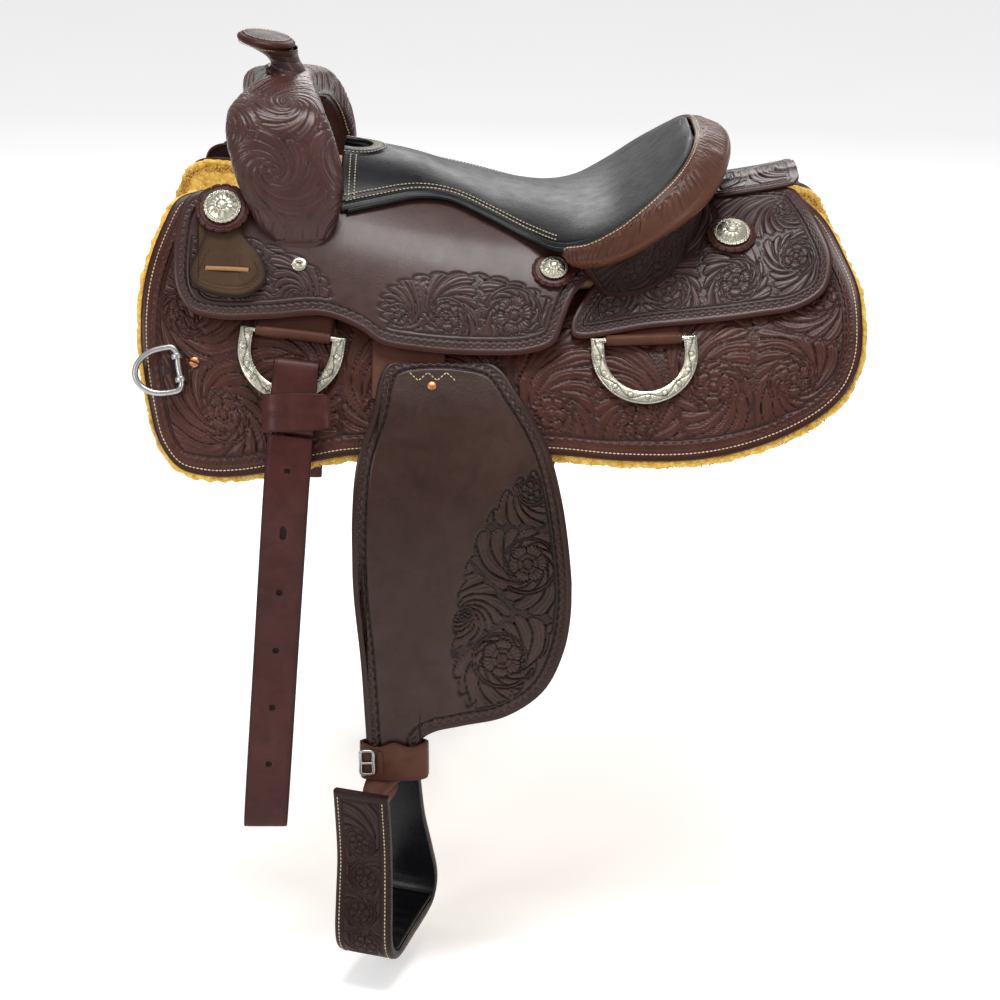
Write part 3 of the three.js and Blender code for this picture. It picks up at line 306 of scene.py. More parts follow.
class Carving:
    """Depth of tooling, in millimetres, over a set of flat points."""

    def __init__(self, p, q):
        self.shape = np.shape(p)
        self.at = np.stack([np.ravel(p), np.ravel(q)], -1).astype(float)
        self.depth = np.zeros(len(self.at))
        self.covered = np.zeros(len(self.at))

    def close_to(self, low, high):
        inside = np.all((self.at >= low) & (self.at <= high), axis=1)
        return np.nonzero(inside)[0]

    def along(self, path, reach):
        """Points within reach of a path: their numbers, share along it, and signed distance from it."""
        path = np.asarray(path, float)
        i = self.close_to(path.min(0) - reach, path.max(0) + reach)
        a, b = path[:-1], path[1:]
        d = b - a
        rel = self.at[i][:, None] - a[None]
        t = np.clip((rel * d).sum(-1) / np.maximum((d * d).sum(-1), 1e-9), 0, 1)
        gap = rel - t[..., None] * d
        dist = np.linalg.norm(gap, axis=-1)
        nearest = dist.argmin(1)
        row = np.arange(len(i))
        side = np.sign(d[nearest, 0] * rel[row, nearest, 1] - d[nearest, 1] * rel[row, nearest, 0])
        return i, (nearest + t[row, nearest]) / len(d), dist[row, nearest] * side

    def lay(self, i, value, cover):
        self.depth[i] = self.depth[i] * (1 - cover) + value * cover
        self.covered[i] = np.maximum(self.covered[i], cover)

    def stem(self, path, width):
        i, t, d = self.along(path, width * 2.2)
        half = width * (1 - 0.5 * t)
        body = smooth(half - np.abs(d), -0.3, 0.5)
        groove = bell(np.abs(d), half, 0.55 * width)
        crown = 0.4 * body * (1 - 0.4 * (d / half) ** 2)
        self.lay(i, crown - 0.95 * groove, smooth(half * 1.9 - np.abs(d), 0, 1))

    def whirl(self, centres, turns, leaves=12, slant=1.45):
        """Long bevelled leaves that sweep out from every centre until they meet the next one's."""
        centres, turns = np.asarray(centres, float), np.asarray(turns, float)
        gap = np.linalg.norm(self.at[:, None] - centres[None], axis=-1)
        order = np.argsort(gap, axis=1)
        nearest, row = order[:, 0], np.arange(len(self.at))
        r = np.maximum(gap[row, nearest], 1.0)
        spare = (gap[row, order[:, 1]] - r) / 2
        rel = self.at - centres[nearest]
        angle = np.arctan2(rel[:, 1], rel[:, 0])
        wave = 0.35 * np.sin(r / 3.6)
        place = (leaves * (turns[nearest] * angle + slant * np.log(r)) + wave) / (2 * np.pi)
        across = 2 * (place % 1) - 1
        width = 2 * np.pi * r / (leaves * math.hypot(1, slant))
        groove = bell((1 - np.abs(across)) * width / 2, 0, 1.0)
        vein = bell((np.abs(across) - 0.36) * width / 2, 0, 0.75) * smooth(width, 7, 11)
        tip = spare - 5 * across**2
        body = 0.4 * np.sqrt(1 - across**2) + 0.32 * across - 0.5 * vein
        edge_line = bell(tip, 0.6, 0.9)
        self.lay(row, body * smooth(tip, 0.4, 1.6) - 0.95 * groove - 0.85 * edge_line, smooth(tip, 0, 1))

    def flower(self, centre, radius, petals=6, turn=0.0):
        """Cut one flower, with its core and a ring of petals inside a round rim."""
        i = self.close_to(np.array(centre) - radius * 1.2, np.array(centre) + radius * 1.2)
        rel = self.at[i] - centre
        r = np.linalg.norm(rel, axis=1)
        angle = np.arctan2(rel[:, 1], rel[:, 0]) + turn
        lobe = np.abs(np.cos(petals * angle / 2))
        rim = radius * (0.8 + 0.2 * lobe**0.6)
        frill = 1 + 0.05 * np.cos(petals * 5 * angle)
        rim = rim * frill
        inside = smooth(rim - r, -0.2, 0.8)
        value = 0.55 * inside * np.clip(r / rim, 0, 1) ** 0.7
        value -= 0.95 * bell(r, rim, 1.1)
        value -= 0.9 * bell(lobe * r, 0, 1.5) * (r < rim)
        value -= 0.55 * bell(np.sin(petals * 2 * angle), 0, 0.3) * inside * (r > radius * 0.42)
        second = radius * 0.55 * (0.86 + 0.14 * np.abs(np.sin(petals * angle / 2)))
        value -= 0.7 * bell(r, second, 0.9)
        core = radius * 0.26
        seeds = 0.35 * np.cos(rel[:, 0] * 2.6) * np.cos(rel[:, 1] * 2.6)
        value = np.where(r < core, 0.9 - 0.5 * (r / core) ** 2 + seeds, value)
        value -= 0.9 * bell(r, core, 0.8)
        self.lay(i, value, smooth(rim + 1.4 - r, 0, 1))

    def scroll(self, centre, radius, start=0.0, turn=1, petals=6):
        """A flower inside a curling stem."""
        centre = np.asarray(centre, float)
        sweep = np.linspace(0, 1, 46)
        angle = start + turn * sweep * 2.1 * np.pi
        r = radius * (0.84 - 0.24 * sweep)
        ring = centre + np.stack([np.cos(angle), np.sin(angle)], -1) * r[:, None]
        self.stem(ring, max(1.4, radius * 0.045))
        self.flower(centre, radius * 0.54, petals, start)

    def mat_down(self, mask):
        """Sinks and pebbles the ground that no motif covers."""
        p, q = self.at.T
        pebble = np.cos(p * 1.9 + 2 * np.sin(q * 0.7)) * np.cos(q * 1.9 + 2 * np.sin(p * 0.7))
        bare = (1 - self.covered) * np.ravel(mask)
        self.depth -= bare * (0.3 + 0.12 * pebble)

    def result(self):
        return self.depth.reshape(self.shape)


def edge_field(p, q, loop):
    """Distance of each flat point from a closed loop, and the length along the loop nearest to it."""
    at = np.stack([np.ravel(p), np.ravel(q)], -1)
    following = np.roll(loop, -1, 0)
    d = following - loop
    size = np.linalg.norm(d, axis=1)
    start = np.concatenate([[0], np.cumsum(size)[:-1]])
    distance = np.empty(len(at))
    arc = np.empty(len(at))
    for low in range(0, len(at), 6000):
        part = at[low:low + 6000]
        rel = part[:, None] - loop[None]
        t = np.clip((rel * d).sum(-1) / np.maximum(size**2, 1e-9), 0, 1)
        gap = np.linalg.norm(rel - t[..., None] * d, axis=-1)
        k = gap.argmin(1)
        row = np.arange(len(part))
        distance[low:low + 6000] = gap[row, k]
        arc[low:low + 6000] = start[k] + t[row, k] * size[k]
    return distance.reshape(np.shape(p)), arc.reshape(np.shape(p))


def stamped_border(distance, arc, near, far, pitch=8.5):
    """A band of shell stamps between two cut lines that follow an edge."""
    middle, half = (near + far) / 2, (far - near) / 2
    u = (arc / pitch) % 1 - 0.5
    v = (distance - middle) / half
    inside = smooth(1 - np.abs(v), 0, 0.2)
    r = np.hypot(u * 2, v + 0.9) / 1.75
    shell = np.cos(9 * r) * 0.35 - 0.35
    shell = np.where(r < 1, shell + 0.35 * np.sqrt(np.clip(1 - r**2, 0, 1)), -0.75)
    lines = bell(distance, near, 0.9) + bell(distance, far, 0.9)
    return 1.15 * inside * shell - 0.28 * lines


# ---- leather panels on the horse-back surface ----


def spans(loop, xs):
    a, b = loop, np.roll(loop, -1, 0)
    xs = xs[None]
    ax, bx = a[:, :1], b[:, :1]
    crosses = ((ax - xs) * (bx - xs) <= 0) & (ax != bx)
    with np.errstate(divide="ignore", invalid="ignore"):
        s = a[:, 1:] + (b[:, 1:] - a[:, 1:]) * (xs - ax) / (bx - ax)
    return np.where(crosses, s, np.inf).min(0), np.where(crosses, s, -np.inf).max(0)


def panel_points(loop, columns, rows, crowd=0.6):
    low, high = loop[:, 0].min() + 0.3, loop[:, 0].max() - 0.3
    u = np.linspace(0, 1, columns)
    x = mix(low, high, mix(u, (1 - np.cos(np.pi * u)) / 2, crowd))
    top, bottom = spans(loop, x)
    s = top[:, None] + (bottom - top)[:, None] * np.linspace(0, 1, rows)
    return np.repeat(x[:, None], rows, 1), s


def border_of(a):
    """The values round the border of a grid, in order."""
    return np.concatenate([a[:-1, 0], a[-1, :-1], a[:0:-1, -1], a[0, :0:-1]])


def panel(outline, columns, rows, level, thickness, tool, place=back, count=420, crowd=0.6):
    """A leather panel with rounded edges. tool(x, s, distance, arc) gives its relief and tone."""
    radius = thickness / 2
    loop = rounded(outline, count, radius)
    x, s = panel_points(loop, columns, rows, crowd)
    distance, arc = edge_field(x, s, loop)
    relief, tone = tool(x, s, distance, arc)
    height = level(x, s)
    burnish = np.exp(-distance / 1.5)
    roll_off = 0.3 * np.exp(-distance / 1.2)
    shapes = [grid(place(x, s, height + relief - roll_off), relief=relief, edge=burnish, tone=tone)]
    ring_xs = np.stack([border_of(x), border_of(s)], -1)
    ring_height = border_of(height + relief - roll_off)
    out = outward(ring_xs)
    rings = []
    for angle in np.linspace(0, np.pi, 8):
        at = ring_xs + out * radius * np.sin(angle) ** 0.6
        rings.append(place(at[:, 0], at[:, 1], ring_height - (radius - 0.2) * (1 - np.cos(angle))))
    at = ring_xs - out * 14
    rings.append(place(at[:, 0], at[:, 1], ring_height - thickness + 0.4))
    rings = np.stack(rings, 1)
    edge = np.tile([1] * 8 + [0], len(ring_xs))
    shapes.append(grid(rings, loop_rows=True, edge=edge, tone=border_of(tone).repeat(9)))
    step = max(1, columns // 60), max(1, rows // 40)
    ux, us = panel_points(rounded(outline, count, radius + 1), columns // step[0], rows // step[1], crowd)
    shapes.append(grid(place(ux, us, level(ux, us) - thickness + 0.3)))
    return shapes


# ---- stitches ----


def capsule(rings=5, sides=6):
    t = np.linspace(-0.5, 0.5, rings)
    width = np.sqrt(np.clip(1 - (2 * t) ** 2, 0.03, 1))
    angle = np.linspace(0, 2 * np.pi, sides, endpoint=False)
    points = np.stack([np.repeat(t[:, None], sides, 1), width[:, None] * np.cos(angle),
                       width[:, None] * np.sin(angle)], -1)
    return points, grid_faces(rings, sides, loop_columns=True)


def row_of(centres, along, up, length, radius, flat=0.8):
    """Small capsules, one at each centre."""
    template, faces = capsule()
    local = template.reshape(-1, 3)
    along, up = unit(along), unit(up)
    side = unit(np.cross(up, along))
    points = (centres[:, None] + local[None, :, 0:1] * length * along[:, None]
              + local[None, :, 1:2] * radius * side[:, None]
              + local[None, :, 2:3] * radius * flat * up[:, None])
    count = len(local)
    all_faces = (faces[None] + np.arange(len(centres))[:, None, None] * count).reshape(-1, 4)
    return shape(points.reshape(-1, 3), all_faces)


def stitches(path, up, pitch=3.9, length=3.1, radius=0.62, lift=0.3):
    """Stitches along a path in space, each lying across its own part of it."""
    path, up = np.asarray(path, float), np.asarray(up, float)
    total = np.linalg.norm(np.diff(path, axis=0), axis=1).sum()
    count = max(3, int(total / pitch))
    both = resample(np.hstack([path, up]), count)
    line, normal = both[:, :3], unit(both[:, 3:])
    middle = (line[1:] + line[:-1]) / 2 + (normal[1:] + normal[:-1]) / 2 * lift
    return row_of(middle, line[1:] - line[:-1], normal[1:] + normal[:-1], length, radius)


def panel_stitches(outline, level, distance, place=back, count=420, part=(0, 1), keep=None, **kind):
    """Stitches at one distance inside a panel's outline, or along a part of it."""
    loop = rounded(outline, count, distance)
    first, last = int(part[0] * count), int(part[1] * count)
    loop = np.vstack([loop, loop[:1]])[first:last + 1]
    if keep is not None:
        loop = loop[keep(loop[:, 0], loop[:, 1])]
    height = level(loop[:, 0], loop[:, 1])
    path = place(loop[:, 0], loop[:, 1], height)
    return stitches(path, place(loop[:, 0], loop[:, 1], height + 1) - path, **kind)


# ---- materials ----


class Surface:
    """Builds one material's nodes."""

    def __init__(self, name, **values):
        self.material = bpy.data.materials.new(name)
        self.material.use_nodes = True
        self.tree = self.material.node_tree
        self.shader = self.tree.nodes["Principled BSDF"]
        for key, value in values.items():
            self.put(self.shader, key.replace("_", " ").title(), value)

    def put(self, node, key, value):
        """Set one of a node's sockets, or link another node's output to it."""
        aliases = {"Ior": "IOR", "Specular": "Specular IOR Level"}
        socket = node.inputs[aliases.get(key, key)] if isinstance(key, str) else node.inputs[key]
        if isinstance(value, bpy.types.NodeSocket):
            self.tree.links.new(value, socket)
        elif isinstance(value, tuple) and len(value) == 3 and socket.type == "RGBA":
            socket.default_value = (*value, 1)
        else:
            socket.default_value = value

    def node(self, kind, inputs=(), out=0, **options):
        node = self.tree.nodes.new(f"ShaderNode{kind}")
        for key, value in options.items():
            setattr(node, key, value)
        for key, value in dict(inputs).items():
            self.put(node, key, value)
        return node.outputs[out]

    def place(self):
        return self.node("TexCoord", out=3)

    def field(self, name):
        return self.node("Attribute", out=2, attribute_name=name)

    def noise(self, scale, detail=4, roughness=0.55, distortion=0.0):
        values = {"Vector": self.place(), "Scale": scale, "Detail": detail, "Roughness": roughness,
                  "Distortion": distortion}
        return self.node("TexNoise", values)

    def cells(self, scale, feature="F1", randomness=1.0):
        values = {"Vector": self.place(), "Scale": scale, "Randomness": randomness}
        return self.node("TexVoronoi", values, feature=feature)

    def math(self, operation, a, b=0.0, clamp=False):
        return self.node("Math", {0: a, 1: b}, operation=operation, use_clamp=clamp)

    def remap(self, value, low, high, out_low=0.0, out_high=1.0):
        inputs = {"Value": value, "From Min": low, "From Max": high, "To Min": out_low, "To Max": out_high}
        return self.node("MapRange", inputs)

    def blend(self, amount, a, b):
        return self.node("Mix", {0: amount, 6: a, 7: b}, out=2, data_type="RGBA")

    def bump(self, height, distance, strength=1.0, under=None):
        inputs = {"Height": height, "Distance": distance, "Strength": strength}
        if under is not None:
            inputs["Normal"] = under
        return self.node("Bump", inputs)

    def finish(self, **values):
        for key, value in values.items():
            self.put(self.shader, key.replace("_", " ").title(), value)
        return self.material


BLACK_DYE_AND_PAINTED_SHADE = (0.006, 0.0035, 0.003)
OXBLOOD = (0.035, 0.0065, 0.0045)


def leather(name, base, edge, roughness=0.42, coat=0.25, grain=1.0, worn=None, dark=BLACK_DYE_AND_PAINTED_SHADE):
    """Waxed leather: blotchy dye, burnished edges, dye-darkened cuts and a pebbled grain. The dark colour and
    the tone field also paint shade into punched holes, slots and linings.
    """
    s = Surface(name, coat_weight=0.4 * coat, coat_roughness=0.24, specular=0.13)
    blotch = s.remap(s.noise(9, 5, 0.6), 0.3, 0.72)
    worn = worn or tuple(min(1, c * 1.55 + 0.012) for c in base)
    colour = s.blend(s.math("MULTIPLY", blotch, 0.7), base, worn)
    streak = s.remap(s.noise(46, 3, 0.6, 0.4), 0.42, 0.7, 0, 0.5)
    colour = s.blend(streak, colour, tuple(0.62 * c for c in base))
    high = s.remap(s.field("relief"), 0.15, 0.9, 0, 0.3)
    colour = s.blend(high, colour, worn)
    cut = s.remap(s.field("relief"), -0.3, -1.15, 0, 0.93)
    colour = s.blend(cut, colour, dark)
    # The tone field darkens matted ground with dye, and is painted shade in holes, slots and linings.
    colour = s.blend(s.math("MULTIPLY", s.field("tone"), 0.3), colour, dark)
    colour = s.blend(s.math("MULTIPLY", s.field("edge"), 0.9, clamp=True), colour, edge)
    shine = s.remap(s.noise(60, 4), 0.3, 0.75, roughness - 0.08, roughness + 0.12)
    shine = s.math("ADD", shine, s.math("MULTIPLY", cut, 0.22), clamp=True)
    pebbles = s.cells(760 * grain, "SMOOTH_F1")
    creases = s.remap(s.noise(310 * grain, 6, 0.7, 0.6), 0.35, 0.65)
    normal = s.bump(pebbles, 0.00022, 0.55)
    normal = s.bump(creases, 0.00018, 0.5, normal)
    stipple = s.math("MULTIPLY", s.cells(520), s.field("tone"))
    normal = s.bump(stipple, 0.0006, 0.7, normal)
    normal = s.bump(s.field("relief"), 0.0009, 0.9, normal)
    return s.finish(base_color=colour, roughness=shine, normal=normal)


def metal(name, base, tarnish, roughness, engraved):
    """Polished metal with fine scratches, and dark scrolls where it is engraved."""
    s = Surface(name, metallic=1.0)
    wear = s.remap(s.noise(70, 6, 0.65), 0.35, 0.75)
    colour = s.blend(s.math("MULTIPLY", wear, 0.5), base, tarnish)
    scratches = s.noise(900, 3, 0.5, 1.2)
    normal = s.bump(scratches, 0.00005, 0.35)
    if engraved:
        swirl = s.cells(150, "DISTANCE_TO_EDGE")
        line = s.remap(s.math("ABSOLUTE", s.math("SINE", s.math("MULTIPLY", swirl, 46))), 0.0, 0.42, 1, 0)
        line = s.math("MULTIPLY", line, s.remap(s.noise(95, 2), 0.4, 0.6))
        colour = s.blend(s.math("MULTIPLY", line, 0.75), colour, tuple(0.16 * c for c in base))
        normal = s.bump(s.math("SUBTRACT", 1.0, line), 0.0003, 0.6, normal)
    cut = s.remap(s.field("relief"), -0.1, -0.8, 0, 0.9)
    colour = s.blend(cut, colour, tuple(0.1 * c for c in base))
    shine = s.remap(wear, 0, 1, roughness, roughness + 0.2)
    return s.finish(base_color=colour, roughness=shine, normal=normal)


def shearling():
    """Clumped golden wool."""
    s = Surface("shearling", specular=0.15, sheen_weight=0.5, sheen_roughness=0.6)
    clump = s.remap(s.noise(55, 6, 0.7), 0.3, 0.7)
    colour = s.blend(clump, (0.46, 0.2, 0.014), (0.88, 0.5, 0.06))
    colour = s.blend(s.remap(s.cells(170), 0.15, 0.75, 0.75, 0), colour, (0.95, 0.66, 0.17))
    colour = s.blend(s.math("MULTIPLY", s.field("tone"), 0.75), colour, (0.3, 0.15, 0.03))
    curls = {"Vector": s.place(), "Scale": 60, "Distortion": 14, "Detail": 4, "Detail Scale": 2.4}
    curl = s.node("TexWave", curls)
    normal = s.bump(s.cells(260), 0.0016, 0.7)
    normal = s.bump(curl, 0.0012, 0.6, normal)
    rough = s.remap(clump, 0, 1, 0.97, 0.8)
    return s.finish(base_color=colour, roughness=rough, normal=normal, sheen_tint=(1.0, 0.8, 0.35))


def thread(name, base, dirt):
    s = Surface(name, specular=0.3)
    colour = s.blend(s.remap(s.noise(140, 4), 0.35, 0.7), base, dirt)
    twist = s.node("TexWave", {"Vector": s.place(), "Scale": 900, "Distortion": 2, "Detail": 2})
    rough = s.remap(s.noise(400, 2), 0.3, 0.7, 0.55, 0.8)
    return s.finish(base_color=colour, roughness=rough, normal=s.bump(twist, 0.0002, 0.6))


def timber():
    s = Surface("tree_wood", specular=0.35)
    stretch = s.node("Mapping", {"Vector": s.place(), "Scale": (1.5, 14, 14)})
    grain = {"Vector": stretch, "Scale": 9, "Detail": 7, "Roughness": 0.65, "Distortion": 0.8}
    figure = s.node("TexNoise", grain)
    colour = s.blend(s.remap(figure, 0.3, 0.7), (0.38, 0.2, 0.085), (0.62, 0.4, 0.2))
    rough = s.remap(figure, 0.3, 0.7, 0.75, 0.55)
    return s.finish(base_color=colour, roughness=rough, normal=s.bump(figure, 0.0007, 0.6))


def plain(name, low, high, roughness, glow):
    """Studio surfaces: one pale colour, very slightly uneven and faintly lit from within."""
    s = Surface(name, specular=0.1, emission_strength=glow, emission_color=(1.0, 1.0, 1.0))
    colour = s.blend(s.noise(3, 2), low, high)
    return s.finish(base_color=colour, roughness=roughness)


SKIRT_LEATHER = leather("skirt_leather", (0.046, 0.0125, 0.007), (0.03, 0.0075, 0.0045), 0.27, coat=0.45)
JOCKEY_LEATHER = leather("jockey_leather", (0.042, 0.019, 0.017), OXBLOOD, 0.36, coat=0.75)
# Near-black leather for the back of the cantle: painted shade for the shadow under the cantle's rim, darker
# than the leather's own colour.
CANTLE_PAINTED_SHADE_LEATHER = leather("cantle_leather", (0.016, 0.0066, 0.0056), OXBLOOD, 0.5, coat=0.05)
SWELL_LEATHER = leather("swell_leather", (0.046, 0.0155, 0.0125), OXBLOOD, 0.25, coat=1.0)
FENDER_LEATHER = leather("fender_leather", (0.029, 0.0115, 0.0075), (0.02, 0.008, 0.005), 0.3, coat=0.55)
SEAT_LEATHER = leather(
    "seat_leather", (0.0045, 0.0047, 0.0062), (0.004, 0.0036, 0.0036), 0.34,
    coat=0.3, grain=0.7, worn=(0.006, 0.0063, 0.0085), dark=(0.0015, 0.0015, 0.0015),
)
BINDING_LEATHER = leather("binding_leather", (0.06, 0.02, 0.0105), (0.1, 0.036, 0.018), 0.33, coat=0.4)
RIG_LEATHER = leather("rig_leather", (0.078, 0.028, 0.017), (0.026, 0.01, 0.0065), 0.48, coat=0.05)
LATIGO_LEATHER = leather("latigo_leather", (0.042, 0.0085, 0.0062), (0.014, 0.0034, 0.003), 0.36, coat=0.2)
KEEPER_LEATHER = leather("keeper_leather", (0.05, 0.026, 0.0125), (0.014, 0.007, 0.0045), 0.42, coat=0.1)
ROSETTE_LEATHER = leather("rosette_leather", (0.042, 0.0082, 0.006), (0.016, 0.004, 0.0033), 0.36)
HOBBLE_LEATHER = leather("hobble_leather", (0.075, 0.028, 0.015), (0.03, 0.011, 0.0065), 0.42, coat=0.1)
STIRRUP_LEATHER = leather(
    "stirrup_cover_leather", (0.02, 0.006, 0.0042), (0.009, 0.004, 0.0034), 0.38,
    coat=0.15,
)
CAP_LEATHER = leather("cap_leather", (0.026, 0.009, 0.0078), (0.045, 0.006, 0.0045), 0.42, coat=0.2)
LACE_LEATHER = leather(
    "lace_leather", (0.3, 0.155, 0.065), (0.18, 0.085, 0.035), 0.5,
    coat=0.1, dark=(0.06, 0.03, 0.014),
)
SILVER = metal("silver", (0.6, 0.57, 0.47), (0.3, 0.27, 0.19), 0.22, True)
STEEL = metal("steel", (0.45, 0.45, 0.44), (0.26, 0.26, 0.25), 0.26, False)
COPPER = metal("copper", (0.55, 0.24, 0.11), (0.26, 0.1, 0.05), 0.32, False)
SHEARLING = shearling()
THREAD = thread("cream_thread", (0.68, 0.6, 0.43), (0.44, 0.35, 0.2))
TIMBER = timber()


# ---- tooling for the panels ----


def patch(p, q, centre, radii, tips):
    """Millimetres inside an oval whose rim is scalloped like leaf tips."""
    u, v = (p - centre[0]) / radii[0], (q - centre[1]) / radii[1]
    rim = 0.9 + 0.1 * np.abs(np.cos(tips * np.arctan2(v, u) / 2)) ** 0.6
    return (rim - np.hypot(u, v)) * min(radii)


def within(carving, gap, strength=1.0):
    """Relief and bare ground of a carving, kept to where gap is positive and outlined there."""
    gap = gap.reshape(carving.shape)
    inside = smooth(gap, 0, 1.2)
    carving.mat_down(inside)
    ground = (1 - carving.covered.reshape(carving.shape)) * inside
    outline = bell(gap + 0.2, 0, 0.9)
    return (carving.result() * inside - 0.8 * outline) * strength, ground


def floral(x, s, scrolls, leaves=12):
    """Flowers in curling stems, with leaves that sweep from each to the next."""
    carving = Carving(x, s)
    carving.whirl([row[:2] for row in scrolls], [row[4] for row in scrolls], leaves)
    for p, q, radius, start, turn in scrolls:
        carving.scroll((p, q), radius, start, turn)
    return carving


def skirt_tool(x, s, distance, arc):
    """Tooling of the skirt: scrolls inside a stamped border."""
    scrolls = [
        (-312, 216, 27, 0.5, 1), (-270, 300, 32, 2.2, -1), (-196, 256, 34, 4.0, 1), (-112, 262, 27, 1.0, -1),
        (-30, 250, 30, 0.2, 1), (50, 256, 29, 2.0, -1), (132, 262, 30, 4.2, 1), (208, 236, 34, 0.4, -1),
        (286, 238, 30, 2.6, 1), (318, 160, 27, 5.2, -1), (270, 120, 28, 1.2, 1), (-300, 140, 26, 3.4, -1),
    ]
    relief, ground = within(floral(x, s, scrolls), distance - 17)
    border = stamped_border(distance, arc, 8.5, 15.5)
    return 1.15 * relief + border, 0.8 * ground


def skirts():
    level = lambda x, s: np.full(np.shape(x), SKIRT_TOP + 0.2)
    shapes = panel(SKIRT_OUTLINE, 476, 196, level, SKIRT_THICKNESS, skirt_tool)
    make_pair("skirt_panel", shapes, SKIRT_LEATHER, ROOT, ["skirt"])
    outside = lambda x, s: s > 60
    rows = panel_stitches(SKIRT_OUTLINE, level, 6.2, keep=outside)
    make_pair("skirt_stitching", [rows], THREAD, ROOT)


def jockey_tool(x, s, distance, arc):
    """Tooling of the seat jockey: flowers by its lower edge, leaves on its foot and a stamped border."""
    flowers = [(14, 170, 34, 3.4, 1), (-52, 176, 24, 0.6, -1), (-98, 180, 16, 2.0, 1)]
    group = np.minimum(patch(x, s, (-30, 172), (88, 40), 26), distance - 15)
    relief, ground = within(floral(x, s, flowers), group)
    leaves = Carving(x, s)
    leaves.whirl([(-292, 176), (-238, 190), (-196, 176), (-296, 132)], [1, -1, 1, -1], 9, 1.7)
    foot = np.minimum(patch(x, s, (-242, 168), (78, 36), 20), distance - 15)
    foot_relief, foot_ground = within(leaves, foot)
    border = 1.2 * stamped_border(distance, arc, 3.8, 11.4, 7.5) * smooth(s, 100, 118)
    return 1.1 * (relief + foot_relief) + border, 0.8 * (ground + foot_ground)


def jockeys():
    shapes = panel(SEAT_JOCKEY_OUTLINE, 420, 190, seat_jockey_top, JOCKEY_THICKNESS, jockey_tool)
    make_pair("seat_jockey_panel", shapes, JOCKEY_LEATHER, ROOT, ["seat_jockey"])


def rear_jockey_tool(x, s, distance, arc):
    """Tooling of the rear jockey: scrolls inside a stamped border."""
    scrolls = [
        (108, 152, 22, 0.4, 1), (166, 138, 27, 2.4, -1), (232, 136, 29, 4.6, 1), (292, 118, 24, 1.4, -1),
        (284, 62, 17, 0.0, 1), (150, 84, 20, 0.0, 1),
    ]
    relief, ground = within(floral(x, s, scrolls), distance - 13.5)
    border = 1.2 * stamped_border(distance, arc, 3.8, 11.4, 7.5)
    return 1.15 * relief + border, 0.8 * ground


def rear_jockeys():
    shapes = panel(REAR_JOCKEY_OUTLINE, 330, 200, rear_jockey_top, JOCKEY_THICKNESS, rear_jockey_tool)
    make_pair("rear_jockey_panel", shapes, JOCKEY_LEATHER, ROOT, ["rear_jockey"])


# ---- fleece ----


FLEECE_TOP = 14.6
FLEECE_UNDER = 1.4


def fleece():
    """The wool pads under the skirts, with tufts round their edge."""
    grown = rounded(SKIRT_OUTLINE, 420, -1.6)
    x, s = panel_points(grown, 300, 150)
    distance, _ = edge_field(x, s, grown)
    wool = np.zeros(np.shape(x))
    for scale, depth in ((5.5, 1.5), (2.6, 0.8)):
        a, b = random.uniform(0, 6, 2)
        along = np.sin(x / scale + a + 1.7 * np.sin(s / scale))
        down = np.sin(s / scale + b + 1.5 * np.sin(x / scale))
        wool += depth * along * down
    thin = 1 - np.exp(-distance / 6)
    under = FLEECE_UNDER + (1 - thin) * 5 + np.minimum(wool, 0.9)
    top = back(x, s, FLEECE_TOP + 0 * x)
    bottom = back(x, s, under)
    ring_xs = np.stack([border_of(x), border_of(s)], -1)
    low = border_of(under)
    out = outward(ring_xs)
    rings = []
    for angle in np.linspace(0, 1, 9):
        bulge = 3.4 * np.sin(np.pi * angle) ** 0.7 * (1 + 0.25 * border_of(wool))
        at = ring_xs + out * bulge[:, None]
        rings.append(back(at[:, 0], at[:, 1], mix(low, FLEECE_TOP, angle)))
    rings = np.stack(rings, 1)
    body = [grid(top), grid(bottom), grid(rings, loop_rows=True)]
    make_pair("fleece_pad", body + [wool_tufts(grown)], SHEARLING, ROOT, ["fleece"])


def wool_tufts(loop, count=5200):
    """Short curled locks standing out round the edge of the fleece."""
    line = resample(np.vstack([loop, loop[:1]]), count, closed=True)
    out = outward(line)
    jitter = random.uniform(-1, 1, (count, 6))
    low = 1.5 + 11.5 * (jitter[:, 0] * 0.5 + 0.5)
    start = line - out * (1.5 + jitter[:, 1:2])
    length = 3.6 + 3.0 * jitter[:, 2]
    lean = jitter[:, 3] * 0.9
    along = np.stack([-out[:, 1], out[:, 0]], -1)
    steps = np.linspace(0, 1, 6)
    paths = []
    for t in steps:
        reach = length * (t - 0.25 * t**2)
        curl = lean * length * t**2 * 0.7
        at = start + out * reach[:, None] + along * curl[:, None]
        droop = low + (2.6 * np.sin(2.5 * t + jitter[:, 4] * 3)) * t - 3.0 * t**2
        paths.append(back(at[:, 0], at[:, 1], np.clip(droop, 0.4, 15)))
    paths = np.stack(paths, 1)
    tangent = unit(np.gradient(paths, axis=1))
    guide = np.array([0.31, 0.52, 0.79])
    side = unit(np.cross(tangent, guide))
    other = np.cross(tangent, side)
    radius = (1.25 + 0.35 * jitter[:, 5])[:, None, None] * (1 - 0.75 * steps**1.6)[None, :, None]
    rings = [paths + radius * (math.cos(a) * side + math.sin(a) * other) for a in np.arange(4) * math.pi / 2]
    rings = np.stack(rings, 2)
    one = grid_faces(len(steps), 4, loop_columns=True)
    faces = (one[None] + np.arange(count)[:, None, None] * len(steps) * 4).reshape(-1, 4)
    return shape(rings.reshape(-1, 3), faces, tone=np.repeat(0.5 + 0.5 * jitter[:, 5], len(steps) * 4) * 0.6)


# ---- fender, hanging from the stirrup leather ----

